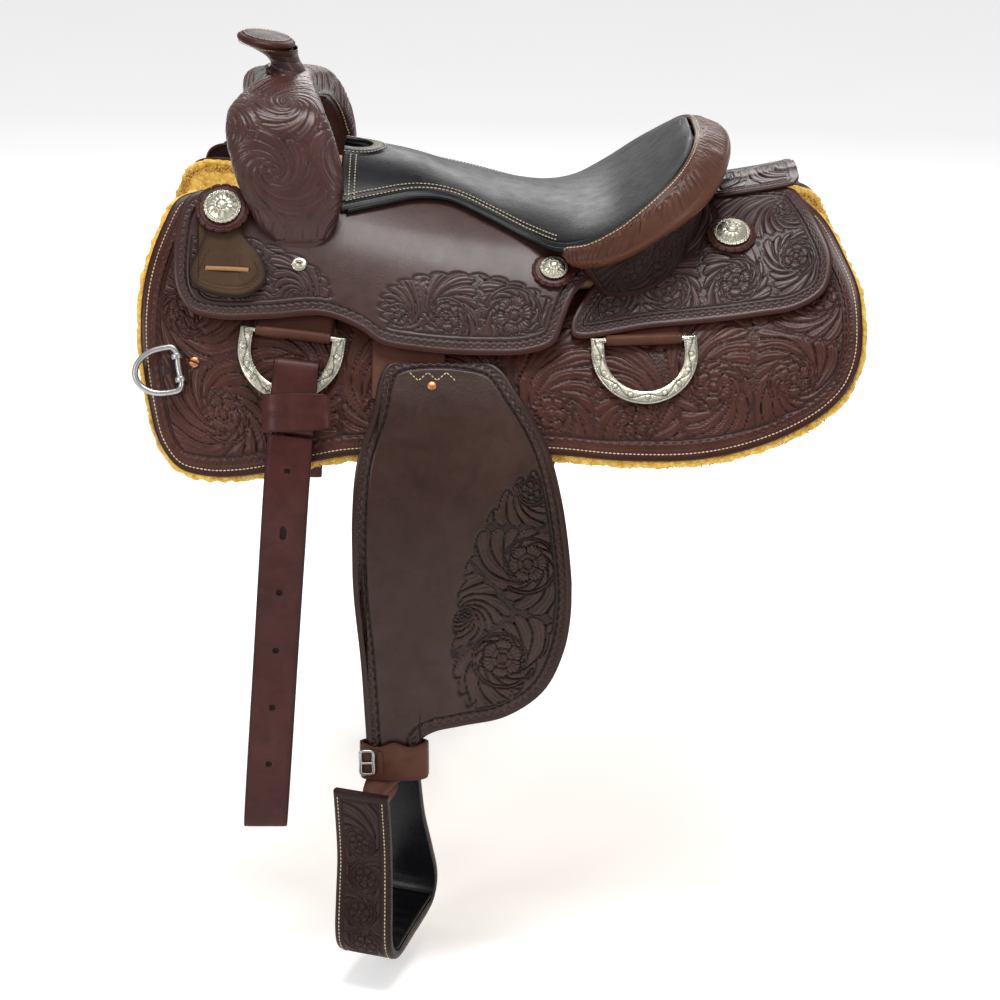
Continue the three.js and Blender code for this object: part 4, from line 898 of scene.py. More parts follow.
FENDER_PATH = [
    (-195.6, -112), (-203, -121), (-226, -150), (-247, -187), (-261, -226), (-269, -280),
    (-273, -350), (-275, -430), (-276.5, -480), (-277, -506),
]
FENDER_FRONT = [
    (-108, -108), (-124, -154), (-138, -195), (-143, -246), (-143, -319), (-137, -393),
    (-133, -469), (-132, -490), (-130, -506),
]
FENDER_REAR = [
    (-8, -108), (20, -140), (45, -179), (59, -226), (68, -289), (70, -333), (63, -383),
    (43, -426), (6, -453), (-37, -463), (-66, -470), (-78, -479), (-80, -506),
]
FENDER_THICKNESS = 4

HANG = smooth_line(FENDER_PATH, 600)
HANG_AT = lengths(HANG)
HANG_SLOPE = unit(np.gradient(HANG, axis=0))


def hanging(x, q, outside):
    """A place on the fender's hanging line, q down its length and `outside` its face."""
    x, q, outside = np.broadcast_arrays(*(np.asarray(a, float) for a in (x, q, outside)))
    y, z = (np.interp(q, HANG_AT, HANG[:, k]) for k in (0, 1))
    ty, tz = (np.interp(q, HANG_AT, HANG_SLOPE[:, k]) for k in (0, 1))
    return np.stack([x, y + tz * outside, z - ty * outside], -1)


def down_fender(z):
    return np.interp(-np.asarray(z, float), -HANG[:, 1], HANG_AT)


def fender_outline():
    front = [(x, float(down_fender(z))) for x, z in FENDER_FRONT]
    rear = [(x, float(down_fender(z))) for x, z in FENDER_REAR]
    return front + rear[::-1]


def fender_tool(x, q, distance, arc):
    flowers = [(27, 200, 36, 2.2, -1), (2, 298, 38, 0.4, 1), (30, 128, 17, 0.6, 1), (-34, 252, 10, 0.6, -1)]
    lean = x + 0.22 * (q - 230)
    gap = np.minimum(patch(lean, q, (12, 232), (52, 124), 26), distance - 14.5)
    relief, ground = within(floral(x, q, flowers, 11), gap)
    border = stamped_border(distance, arc, 3.4, 12.4, 9.0)
    return 1.7 * relief + 1.6 * border, 0.8 * ground


FENDER_RIVET_AT = (-66.0, 24.0)


def fenders():
    """The fender, with its zigzag of stitches and its rivet."""
    flat = lambda x, q: np.zeros(np.shape(x))
    outline = fender_outline()
    shapes = panel(outline, 200, 400, flat, FENDER_THICKNESS, fender_tool, hanging, crowd=0.75)
    make_pair("fender_panel", shapes, FENDER_LEATHER, "fender", ["fender"])
    x = np.array([-88, -79, -70, -61, -52, -43], float)
    q = np.where(np.arange(6) % 2, 19.0, 10.0)
    line = resample(np.c_[x, q], 60)
    out = hanging(line[:, 0], line[:, 1], 1.0) - hanging(line[:, 0], line[:, 1], 0.0)
    make_pair("fender_stitching", [stitches(hanging(line[:, 0], line[:, 1], 0.1), out)], THREAD, "fender")
    x, q = FENDER_RIVET_AT
    at = hanging(x, q, 0.0)
    up = unit(hanging(x, q - 5, 0.0) - hanging(x, q + 5, 0.0))
    face = unit(hanging(x, q, 1.0) - at)
    rivet = [moved(part, at, (np.cross(up, face), up, face)) for part in domed_head(4.6, 2.0)]
    make_pair("fender_rivet", rivet, COPPER, "fender")


# ---- general solids ----


def frames(path, closed=False):
    """Tangents and two cross directions along a path in space."""
    if closed:
        tangent = unit(np.roll(path, -1, 0) - np.roll(path, 1, 0))
    else:
        tangent = unit(np.gradient(path, axis=0))
    guide = np.array([0.13, 0.21, 0.97])
    side = unit(np.cross(tangent, guide))
    return tangent, side, np.cross(side, tangent)


def tube(path, radius, sides=10, closed=False, **fields):
    """A round bar along a path."""
    path = np.asarray(path, float)
    _, side, other = frames(path, closed)
    angle = np.linspace(0, 2 * np.pi, sides, endpoint=False)[None, :, None]
    radius = np.broadcast_to(radius, len(path))[:, None, None]
    points = path[:, None] + radius * (np.cos(angle) * side[:, None] + np.sin(angle) * other[:, None])
    body = grid(points, loop_rows=closed, loop_columns=True, **fields)
    if closed:
        return body
    return merged([body, *[fan(points[k], **fields) for k in (0, -1)]])


def fan(ring, **fields):
    """A flat cover over one ring, made as a narrow grid across it."""
    half = len(ring) // 2
    first, second = ring[:half + 1], np.concatenate([ring[half:], ring[:1]])[::-1]
    return grid(np.stack([first, second], 1), **fields)


def thick_sheet(top, thickness, relief=0.0, tone=0.0, edge_width=2.2, bulge=1.0, flip=False):
    """A sheet with rounded edges whose outer face is a grid of points."""
    across = unit(np.cross(np.gradient(top, axis=0), np.gradient(top, axis=1)))
    out = -across if flip else across
    relief = np.broadcast_to(relief, top.shape[:2])
    tone = np.broadcast_to(tone, top.shape[:2])
    face = top + out * relief[..., None]
    thickness = np.broadcast_to(thickness, top.shape[:2])
    under = top - out * thickness[..., None]
    rim, rim_out = border_of(face), border_of(out)
    rim_low = border_of(under)
    inner = border_of(inner_neighbours(top))
    beyond = rim - inner
    beyond = unit(beyond - rim_out * (beyond * rim_out).sum(-1, keepdims=True))
    half = np.linalg.norm(rim - rim_low, axis=-1, keepdims=True) / 2
    ring = []
    for angle in np.linspace(0, np.pi, 9):
        ring.append(mix(rim, rim_low, (1 - math.cos(angle)) / 2) + beyond * half * math.sin(angle) * bulge)
    near_edge = edge_share(top, edge_width)
    return [
        grid(face, relief=relief, edge=near_edge, tone=tone), grid(under),
        grid(np.stack(ring, 1), loop_rows=True, edge=1, tone=np.repeat(border_of(tone), 9)),
    ]


def inner_neighbours(points):
    inner = points.copy()
    inner[0], inner[-1] = points[1], points[-2]
    inner[:, 0], inner[:, -1] = points[:, 1], points[:, -2]
    return inner


def edge_share(points, width):
    """1 on the border of a grid of points, fading out over a width in millimetres."""
    return np.exp(-edge_gap(points) / width)


def grid_lengths(points, axis):
    """Length along each row or column of a grid of points, from its start."""
    step = np.linalg.norm(np.diff(points, axis=axis), axis=-1)
    start = np.zeros_like(np.take(step, [0], axis))
    return np.concatenate([start, np.cumsum(step, axis)], axis)


def edge_gap(points):
    """Distance of each point of a grid from the nearest of its four sides."""
    gaps = []
    for axis in (0, 1):
        along = grid_lengths(points, axis)
        gaps += [along, np.take(along, [-1], axis) - along]
    return np.minimum.reduce(gaps)


def flat_of(points):
    """Two flat coordinates in millimetres for a grid of points, measured from its middle."""
    flat = []
    for axis in (0, 1):
        along = grid_lengths(points, axis)
        flat.append(along - np.take(along, [along.shape[axis] // 2], axis))
    return flat


def axes_on_back(x, s):
    out = unit(back(x, s, 1.0) - back(x, s, 0.0))
    along = back(x + 5.0, s, 0.0) - back(x - 5.0, s, 0.0)
    along = unit(along - out * (along @ out))
    return along, np.cross(out, along), out


def turned(axes, turn=0.0, lean=0.0):
    """Axes turned about their outward one, then leant about their first."""
    along, up, out = axes
    c, s = math.cos(math.radians(turn)), math.sin(math.radians(turn))
    along, up = along * c + up * s, up * c - along * s
    c, s = math.cos(math.radians(lean)), math.sin(math.radians(lean))
    return along, up * c + out * s, out * c - up * s


def placed(points, origin, axes):
    """Local points moved to an origin and its three axes."""
    return origin + points[..., 0:1] * axes[0] + points[..., 1:2] * axes[1] + points[..., 2:3] * axes[2]


def disc(height, radius, rings=40, spokes=120, edge=0.0, tone=0.0):
    """A round plate in local axes, from height(share of radius, angle) and radius(angle)."""
    share = np.linspace(0.0, 1, rings)[:, None]
    angle = np.linspace(0, 2 * np.pi, spokes, endpoint=False)[None]
    reach = radius(angle) + 0 * angle
    z, relief = height(share, angle)
    flat = share * reach
    top = np.stack([flat * np.cos(angle), flat * np.sin(angle), z + 0 * flat], -1)
    wall = np.stack([top[-1], top[-1] * np.array([1.004, 1.004, 1]) - [0, 0, 0.4], top[-1] * [1, 1, 0]], 0)
    under = top * np.array([1, 1, 0.0])
    top_shape = grid(top, loop_columns=True, relief=relief + 0 * flat, edge=edge, tone=tone)
    return [top_shape, grid(wall, loop_columns=True, edge=1), grid(under, loop_columns=True)]


# ---- seat ----

SEAT_EDGE = [
    (-156, 106, 20), (-119, 92, 25), (-80, 77, 29), (-50, 75, 26), (-10, 93, 12), (30, 116, -4),
    (57, 138, -9), (87, 153, -1), (118, 153, 17), (146, 143, 38), (168, 121, 56), (184, 92, 71),
    (191, 55, 80), (193, 20, 83),
]
SEAT_CREST = [
    (-156, 64), (-107, 56), (-82, 50), (-51, 39), (-20, 30), (0, 24), (31, 18), (51, 15), (82, 14),
    (110, 20), (140, 38), (165, 58), (185, 77), (193, 83),
]
CREST_FLATNESS = 2.2
HAND_HOLE = {"rear": -129, "half_width": 22}


def seat_surface(x, side):
    half = curve_at(SEAT_EDGE, 0, 1, x)
    crest = curve_at(SEAT_CREST, 0, 1, x)
    edge = curve_at(SEAT_EDGE, 0, 2, x)
    z = mix(crest, edge, np.abs(side) ** CREST_FLATNESS)
    return np.stack(np.broadcast_arrays(x, side * half, z), -1)


def seat_grid(columns, rows, front=-157.0, rear=192.4, reach=1.0):
    u = np.linspace(0, 1, columns)[:, None]
    x = mix(front, rear, 0.5 * np.sin(u * np.pi / 2) + 0.5 * u)
    side = np.linspace(-reach, reach, rows)[None]
    return x + 0 * side, side + 0 * x


def hole_distance(x, y):
    """Distance outside the round-ended hand hole, negative within it."""
    rear, half = HAND_HOLE["rear"], HAND_HOLE["half_width"]
    centre = rear - half
    return np.where(x > centre, np.hypot(x - centre, y), np.abs(y)) - half


def seat_pad():
    """The padded seat, with the hand hole through its front."""
    x, side = seat_grid(330, 280)
    top = seat_surface(x, side)
    from_side = np.minimum.reduce(np.broadcast_arrays(*side_gap(top)))
    hole = hole_distance(top[..., 0], top[..., 1])
    pillow = 2.6 * (1 - np.exp(-from_side / 10)) - 2.4
    groove = -1.0 * bell(from_side, 8.0, 1.5) * smooth(x, 90, 60)
    collar = 2.0 * smooth(9 - np.abs(hole - 6), 0, 6) - 1.1 * bell(hole, 14.5, 1.2)
    soft = 0.35 * np.sin(x / 23 + 2 * side) * np.cos(side * 3.4 + x / 61)
    relief = pillow + groove + collar + soft
    kept = np.ravel(hole) > 0.2
    face = top.copy()
    face[..., 2] += relief
    thickness = mix(12, 4.5, np.abs(side) ** 3)
    shapes = thick_sheet(face, thickness, 0, 0, 1.6, bulge=0.35)
    for part in shapes[:2]:
        part["faces"] = part["faces"][kept[part["faces"]].all(1)]
    shapes[0]["fields"]["relief"] = np.ravel(groove * 0.6)
    seat = make("seat_pad", shapes, SEAT_LEATHER, ROOT, ["seat"])
    hand_hole_rim()
    seat_trim()


def side_gap(top):
    """Distance of each seat point from the near and off edges and from the rear edge."""
    along = grid_lengths(top, 1)
    back_step = np.linalg.norm(np.diff(top, axis=0), axis=-1)
    behind = np.concatenate([np.cumsum(back_step[::-1], 0)[::-1], np.zeros((1, top.shape[1]))], 0)
    return along, along[:, -1:] - along, behind


def hole_line(outset, count=120, front=-158.0):
    half = HAND_HOLE["half_width"] + outset
    centre = HAND_HOLE["rear"] - HAND_HOLE["half_width"]
    angle = np.linspace(-np.pi / 2, np.pi / 2, 40)
    bend = np.stack([centre + half * np.cos(angle), half * np.sin(angle)], -1)
    flat = np.vstack([[(front, -half)], bend, [(front, half)]])
    return resample(flat, count)


def on_seat(flat, lift=0.0):
    x, y = flat[:, 0], flat[:, 1]
    side = y / curve_at(SEAT_EDGE, 0, 1, x)
    points = seat_surface(x, side)
    points[:, 2] += lift
    return points


def hand_hole_rim():
    roll = tube(on_seat(hole_line(1.2), -1.2), 3.4, 12)
    wall = hole_line(0.4)
    top, bottom = on_seat(wall, -1.0), on_seat(wall, -13.0)
    # The wall inside the hand hole is darkened a little by tone: painted shade.
    lining = grid(np.stack([top, bottom], 1), tone=0.3)
    make("hand_hole_roll", [roll, lining], SEAT_LEATHER, ROOT)
    up = np.tile([0.0, 0, 1], (120, 1))
    rows = [stitches(on_seat(hole_line(offset), 1.7), up) for offset in (7.0, 12.5)]
    make("hand_hole_stitching", rows, THREAD, ROOT)


def seat_edge_line(inward, from_x=-154.0, to_x=192.0, count=360):
    """A line round the seat that keeps its distance from the near, rear and off edges."""
    x = np.linspace(from_x, to_x, 400)
    half = curve_at(SEAT_EDGE, 0, 1, x)
    near = np.stack([x, -half], -1)
    whole = np.vstack([near, near[::-1] * [1, -1]])
    normal = outward(whole)
    moved = whole - normal * inward
    return resample(moved[3:-3], count)


def seat_trim():
    """Rows of stitches along the seat's sides and front, and the piping at its edge."""
    up = np.tile([0.0, 0, 1], (360, 1))
    rows = []
    for inward in (5.0, 10.5):
        line = on_seat(seat_edge_line(inward), 0.9)
        for side in (-1, 1):
            ahead = (line[:, 0] < 57) & (line[:, 1] * side > 0)
            rows.append(stitches(line[ahead], up[ahead]))
    for front in (-150.0, -144.5):
        y = np.linspace(38, float(curve_at(SEAT_EDGE, 0, 1, front)) - 5, 60)
        for side in (-1, 1):
            line = on_seat(np.c_[np.full(60, front), side * y], 1.2)
            rows.append(stitches(line, up[:60]))
    make("seat_stitching", rows, THREAD, ROOT)
    within_edge, past_edge = seat_edge_line(0.5), seat_edge_line(-0.4)
    sideways = np.zeros((360, 3))
    sideways[:, 1] = (past_edge - within_edge)[:, 1] * 2
    piping = tube(on_seat(within_edge, -4.4) + sideways, 2.3, 10)
    make("seat_piping", [piping], SEAT_LEATHER, ROOT)


def ground_seat():
    x, side = seat_grid(90, 60, -118.0, 182.0, 0.78)
    top = seat_surface(x, side)
    top[..., 2] -= mix(12, 4.5, np.abs(side) ** 3) + 2
    shapes = thick_sheet(top, 5, 0, 0)
    make("ground_seat_leather", shapes, RIG_LEATHER, ROOT, ["ground_seat"])


# ---- fork and swell cover ----

FORK_STATIONS = [
    (-136, -26, -96, -30, -212, -186), (-138, -6, -100, -10, -228, -168),
    (-140, 18, -102, 14, -242, -158), (-138, 46, -101, 38, -254, -153),
    (-132, 76, -94, 62, -263, -156), (-122, 102, -80, 80, -268, -163),
    (-104, 121, -62, 92, -268, -171), (-70, 130, -38, 99, -260, -178),
    (-34, 136, -18, 102, -250, -184), (0, 138, 0, 103, -246, -187),
]
FORK_SQUARENESS = 0.62


def fork_surface(along, around, shrink=0.0):
    """The fork from near foot to off foot; each ring starts at its inner face."""
    near = np.array(FORK_STATIONS, float)
    off = near[-2::-1] * [-1, 1, -1, 1, 1, 1]
    rows = smooth_line(np.vstack([near, off]), along)
    angle = np.linspace(-np.pi / 2, 1.5 * np.pi, 361)
    soft = lambda v: np.sign(v) * np.abs(v) ** FORK_SQUARENESS
    rings = []
    for oy, oz, iy, iz, front, rear in rows:
        middle = np.array([(oy + iy) / 2, (oz + iz) / 2])
        half = np.array([oy, oz]) - middle
        half *= 1 - shrink / np.linalg.norm(half)
        lift = soft(np.sin(angle))
        x = (front + rear) / 2 + ((rear - front) / 2 - shrink) * soft(np.cos(angle))
        ring = np.stack([x, middle[0] + half[0] * lift, middle[1] + half[1] * lift], -1)
        rings.append(resample(ring, around + 1)[:-1])
    return np.array(rings)


def swell_tool(p, q):
    """Long leaves sweeping over a swell; p runs from foot to top and q from front to rear."""
    carving = Carving(p, q)
    centres = [(70, -16), (146, 14), (-10, 44), (10, -60), (130, -60), (96, 70)]
    carving.whirl(centres, [1, -1, -1, 1, -1, 1], 7, 2.1)
    carving.flower((70, -16), 11.5, 5)
    relief, ground = within(carving, p - 1.0)
    smooth_belly = 1 - 0.75 * np.exp(-(((p - 34) / 22) ** 2) - ((q - 6) / 17) ** 2)
    return 0.6 * smooth_belly * relief, 0.4 * ground * smooth_belly


def swell():
    """The leather over the fork."""
    along, around = 380, 210
    points = fork_surface(along, around)
    outer = around // 2
    line = points[:, outer]
    p = lengths(line)
    step = np.linalg.norm(np.roll(points, -1, 1) - points, axis=-1)
    q = np.cumsum(step, 1) - np.cumsum(step, 1)[:, outer:outer + 1]
    q = -q
    whole = p[-1]
    from_foot = np.minimum(p, whole - p)[:, None] - 20 + 0 * q
    relief, ground = swell_tool(from_foot, q)
    half_round = step.sum(1, keepdims=True) / 2
    outside = smooth(half_round * 0.62 - np.abs(q), 0, 6)
    seam = np.abs(np.abs(q) - half_round * 0.66)
    relief = relief * outside * 1.25 - 0.8 * bell(seam, 0, 1.1)
    normal = loop_normals(points)
    if normal[along // 2, outer, 2] < 0:
        normal = -normal
    face = points + normal * relief[..., None]
    foot_edge = np.exp(-np.maximum(from_foot, 0) / 3) * 0.7
    inside = fork_surface(along, 60, 4.0)
    shapes = [grid(face, loop_columns=True, relief=relief, tone=ground * outside, edge=foot_edge)]
    make("swell_leather_panel", shapes, SWELL_LEATHER, ROOT, ["swell_cover"])
    make("fork_wood", [grid(inside[6:-6], loop_columns=True)], TIMBER, ROOT, ["tree_fork"])
    rows = []
    for sign in (-1, 1):
        k = (np.abs(q - sign * (half_round * 0.66 - 3.4))).argmin(1)
        i = np.arange(along)
        here = (from_foot[:, 0] > -4) & (i > 2) & (i < along - 3)
        rows.append(stitches(face[i, k][here], normal[i, k][here]))
    make("swell_stitching", rows, THREAD, ROOT)


# ---- horn ----

HORN_NECK = [
    (-211, 132, 21, 24, -16), (-214, 142, 17, 20, -14), (-220, 151, 17.5, 21, -11), (-228, 159, 24, 27, -10),
    (-231, 164, 27, 31, -10),
]
HORN_CAP = {"x": -235, "z": 168, "tilt": 10, "scale": (0.95, 1.1)}


def horn():
    rows = smooth_line([(-209, 124, 27, 29, -16), *HORN_NECK], 90)
    angle = np.linspace(0, 2 * np.pi, 120, endpoint=False)
    wrap = 0.55 * np.abs(np.sin(np.linspace(0, 5.2, 90) * np.pi))[:, None] ** 0.35
    rings = []
    for k, (x, z, rx, ry, tilt) in enumerate(rows):
        grow = wrap[k, 0]
        along = (rx + grow) * np.cos(angle)
        rise = along * math.tan(math.radians(tilt))
        rings.append(np.stack([x + along, (ry + grow) * np.sin(angle), z + rise], -1))
    rings = np.array(rings)
    relief = (wrap - 0.55) * 1.6 + 0 * angle
    make("horn_neck_leather", [grid(rings, loop_columns=True, relief=relief)], JOCKEY_LEATHER, ROOT,
         ["horn_wrap", "horn_core"])
    horn_cap()
    horn_collar(rings, angle)


def horn_collar(rings, angle):
    """A scalloped washer of leather at the foot of the neck."""
    inner = rings[30] + [0, 0, -1.0]
    centre = inner.mean(0)
    scallop = 1.32 + 0.05 * np.abs(np.cos(7 * angle))[:, None]
    outer = centre + (inner - centre) * scallop + [0, 0, -3.2]
    share = np.linspace(0, 1, 7)
    top = np.stack([mix(inner, outer, t) + [0, 0, 1.6 * math.sin(t * math.pi)] for t in share], 1)
    bottom = np.stack([outer, outer - [0, 0, 2.4], inner - [0, 0, 2.4]], 1)
    shapes = [grid(top, loop_rows=True, edge=np.tile(np.linspace(0, 1, 7), len(angle))),
              grid(bottom, loop_rows=True, edge=1)]
    make("horn_collar", shapes, JOCKEY_LEATHER, ROOT)


CAP_GROOVE_RADIUS = 26.4


def horn_cap():
    """The round cap of the horn, with a groove near its rim."""
    profile = [(0.01, -5), (20, -5.2), (27, -4.6), (30.0, -2.6), (30.9, -0.4), (30.4, 1.2), (27.6, 3.4),
               (20, 5.4), (10, 6.6), (0.01, 7)]
    line = smooth_line(profile, 90)
    angle = np.linspace(0, 2 * np.pi, 140, endpoint=False)
    layers = 0.3 * np.abs(np.sin(line[:, 1] * 1.5)) * (line[:, 0] > 27.5)
    r = (line[:, 0] + layers)[:, None]
    sx, sy = HORN_CAP["scale"]
    local = np.stack([r * sx * np.cos(angle), r * sy * np.sin(angle), line[:, 1:2] + 0 * angle], -1)
    tilt = math.radians(HORN_CAP["tilt"])
    axes = (np.array([math.cos(tilt), 0, -math.sin(tilt)]), np.array([0.0, 1, 0]),
            np.array([math.sin(tilt), 0, math.cos(tilt)]))
    origin = np.array([HORN_CAP["x"], 0, HORN_CAP["z"]], float)
    rim = smooth(line[:, 0], 26.5, 29.5)[:, None] + 0 * angle
    relief = (-0.9 * bell(line[:, 0], CAP_GROOVE_RADIUS, 0.8))[:, None] + 0 * angle
    make("horn_cap_leather", [grid(placed(local, origin, axes), loop_columns=True, edge=rim, relief=relief)],
         CAP_LEATHER, ROOT, ["horn_cap"])
    rows = []
    closed = np.linspace(0, 2 * np.pi, 150)
    for radius, z, up in ((24.6, 4.9, 1), (28.8, -4.7, -1)):
        ring = np.stack([radius * sx * np.cos(closed), radius * sy * np.sin(closed), z + 0 * closed], -1)
        rows.append(stitches(placed(ring, origin, axes), np.tile(axes[2] * up, (150, 1)), 3.2, 2.5, 0.5))
    make("horn_stitching", rows, THREAD, ROOT)


# ---- cantle ----

RIM_SEAM = [
    (58, -140, -10), (87, -155, -1), (118, -155, 17), (146, -145, 38), (170, -122, 57),
    (186, -92, 73), (194, -50, 82), (195, 0, 83),
]
RIM_ROLL = [
    (61, -152, -21), (80, -164, -22), (108, -168, -17), (142, -165, -2), (186, -146, 24),
    (214, -114, 46), (229, -62, 64), (233, 0, 70),
]
CANTLE_FOOT = [
    (84, -138), (104, -146), (128, -147), (154, -140), (180, -118), (195, -84), (202, -44), (204, 0),
]
ROLL_SECTION = [
    (0.06, -0.6), (0.14, 0.6), (0.3, 3), (0.5, 4.0), (0.7, 4), (0.9, 2.4), (1.02, -1.6), (1.06, -7),
    (1.02, -14), (0.85, -18), (0.5, -15), (0.15, -8),
]


def even_curve(points, count):
    """A curve through matched points, each point at an equal share of it."""
    p = np.asarray(points, float)
    t = np.linspace(0, len(p) - 1, count)
    i = np.minimum(t.astype(int), len(p) - 2)
    k = (t - i)[:, None]
    padded = np.vstack([2 * p[:1] - p[1:2], p, 2 * p[-1:] - p[-2:-1]])
    a, b, c, d = (padded[i + n] for n in range(4))
    return 0.5 * (2 * b + (c - a) * k + (2 * a - 5 * b + 4 * c - d) * k**2 + (3 * b - a - 3 * c + d) * k**3)


def whole_rim(half, count):
    near = np.asarray(half, float)
    flip = np.ones(near.shape[1])
    flip[1] = -1
    return even_curve(np.vstack([near, near[-2::-1] * flip]), count)


def roll_frame(count):
    seam, roll = whole_rim(RIM_SEAM, count), whole_rim(RIM_ROLL, count)
    width = roll - seam
    lift = unit(np.cross(width, np.gradient(seam, axis=0)))
    lift *= np.sign(lift[:, 2:3])
    return seam, width, lift


def binding_tool(p, q):
    """Flowers and long leaves engraved along the top of the cantle roll."""
    carving = Carving(p, q)
    span, middle = 54.0, 21.0
    places = [(k * span, middle) for k in range(-6, 7)]
    carving.whirl(places, [(-1) ** k for k in range(-6, 7)], 9, 1.7)
    for place in places:
        carving.flower(place, 11.5, 5, 0.3)
    relief, ground = within(carving, 15 - np.abs(q - middle))
    return 0.55 * relief, 0.6 * ground


def cantle_binding():
    """The rolled leather along the cantle's rim."""
    count, around = 620, 104
    seam, width, lift = roll_frame(count)
    section = smooth_line(ROLL_SECTION, around, closed=True)
    ends = np.linspace(0, 1, count)
    taper = np.minimum(smooth(ends, 0, 0.018), smooth(1 - ends, 0, 0.018))[:, None]
    across = mix(0.5, section[None, :, 0], mix(0.35, 1, taper))
    up = mix(-4, section[None, :, 1], mix(0.3, 1, taper))
    points = seam[:, None] + width[:, None] * across[..., None] + lift[:, None] * up[..., None]
    step = np.linalg.norm(np.gradient(points[:, 0], axis=0), axis=-1)
    p = (np.cumsum(step) - np.cumsum(step)[count // 2])[:, None] + 0 * across
    q = np.cumsum(np.linalg.norm(np.roll(points, -1, 1) - points, axis=-1), 1)
    relief, ground = binding_tool(p, q)
    top_part = smooth(section[:, 1], -3.5, -0.5)[None]
    relief, ground = relief * top_part * taper, ground * top_part * taper
    normal = loop_normals(points)
    if (normal[count // 2] * (points[count // 2] - points[count // 2].mean(0))).sum() < 0:
        normal = -normal
    face = points + normal * relief[..., None]
    roll = smooth(section[:, 0], 0.84, 0.93)[None] + 0 * relief
    shapes = [grid(face, loop_columns=True, relief=relief, tone=ground, edge=roll * 0.85)]
    shapes += [fan(face[0]), fan(face[-1])]
    make("cantle_binding_leather", shapes, BINDING_LEATHER, ROOT, ["cantle_binding"])
    rows = []
    i = np.arange(6, count - 6)
    k = np.abs(q - 4.2).argmin(1)[i]
    rows.append(stitches(face[i, k], normal[i, k]))
    make("cantle_stitching", rows, THREAD, ROOT)


def level_over(x, y, height):
    low, high = np.full(len(x), -40.0), np.full(len(x), 350.0)
    for _ in range(36):
        middle = (low + high) / 2
        above = back(x, middle, height)[:, 1] > y
        low, high = np.where(above, middle, low), np.where(above, high, middle)
    return back(x, low, height)[:, 2]


def cantle_wall_points(columns, rows, inset, down=6.0):
    roll, seam = whole_rim(RIM_ROLL, 400), whole_rim(RIM_SEAM, 400)
    foot = np.array(CANTLE_FOOT, float)
    z = level_over(foot[:, 0], foot[:, 1], float(rear_jockey_top(0, 90.0)) - down)
    base = whole_rim(np.c_[foot, z], 400)
    t = np.linspace(0.06, 0.94, columns) * 399
    at = lambda line: np.stack([np.interp(t, np.arange(400), line[:, k]) for k in range(3)], -1)
    top = mix(at(roll), at(seam), 0.45) - [0, 0, 9.5]
    tangent = np.gradient(at(base), axis=0) * [1, 1, 0]
    inward = unit(np.cross(tangent, [0, 0, -1]))
    v = np.linspace(0, 1, rows)[None, :, None]
    return mix(top[:, None], at(base)[:, None], v) + inward[:, None] * inset


def cantle_back():
    """The tooled leather on the back of the cantle, made near-black as painted shade for the shadow under the
    cantle's rim.
    """
    top = cantle_wall_points(300, 70, 0.0)
    p, q = flat_of(top)
    places = [(k * 52, 0, 22, 0.8 * k, (-1) ** k) for k in range(-4, 5)]
    relief, ground = within(floral(p, q, places), edge_gap(top) - 6)
    shapes = thick_sheet(top, 3.4, 0.8 * relief, 0.8 * ground, flip=True)
    make("cantle_back_leather", shapes, CANTLE_PAINTED_SHADE_LEATHER, ROOT, ["cantle_back"])
    core = cantle_wall_points(120, 20, 4.2)
    inner = cantle_wall_points(120, 20, 20.0)
    make("cantle_wood", box_between(core, inner), TIMBER, ROOT, ["cantle_core"])


def loop_normals(points):
    """Unit normals of a grid whose columns close on themselves."""
    around = np.roll(points, -1, 1) - np.roll(points, 1, 1)
    return unit(np.cross(np.gradient(points, axis=0), around))


def box_between(outer, inner):
    rims = np.stack([border_of(outer), border_of(inner)], 1)
    return [grid(outer), grid(inner), grid(rims, loop_rows=True)]


def connector():
    x = np.linspace(212, 300, 110)[:, None]
    s = np.linspace(-34, 34, 90)[None]
    points = back(x, np.abs(s), 44.5 - 8 * (1 - (s / 34) ** 2) ** 2)
    points[..., 1] *= -np.sign(s) + (s == 0)
    rounding = np.abs(s) / 34
    points[..., 0] -= (rounding**6 * 6) * np.sign(x - 256) * (np.abs(x - 256) / 44) ** 6
    p, q = flat_of(points)
    gap = edge_gap(points)
    flowers = [(-30, 0, 16, 0.4, 1), (20, 0, 16, 2.0, -1)]
    relief, ground = within(floral(p, q, flowers, 9), gap - 10)
    along = np.where(gap == np.abs(p).max() - np.abs(p), q, p)
    border = stamped_border(gap, along, 4, 8.5, 6.5)
    shapes = thick_sheet(points, 3.5, relief + 0.7 * border, 0.8 * ground)
    make("connector_leather", shapes, JOCKEY_LEATHER, ROOT, ["rear_connector"])


# ---- silver discs and small metal ----

FRONT_CONCHO = {"x": -271.5, "s": 114, "radius": 18, "level": 58.8, "rosette": (27.0, 3.0), "name": "front"}
SEAT_CONCHO = {"x": 53, "s": 125, "radius": 13.5, "level": 50.4, "rosette": (22.0, 2.4), "name": "seat"}
REAR_CONCHO = {"x": 230, "s": 86, "radius": 18, "level": 42.4, "rosette": (25.0, 3.2), "name": "rear"}


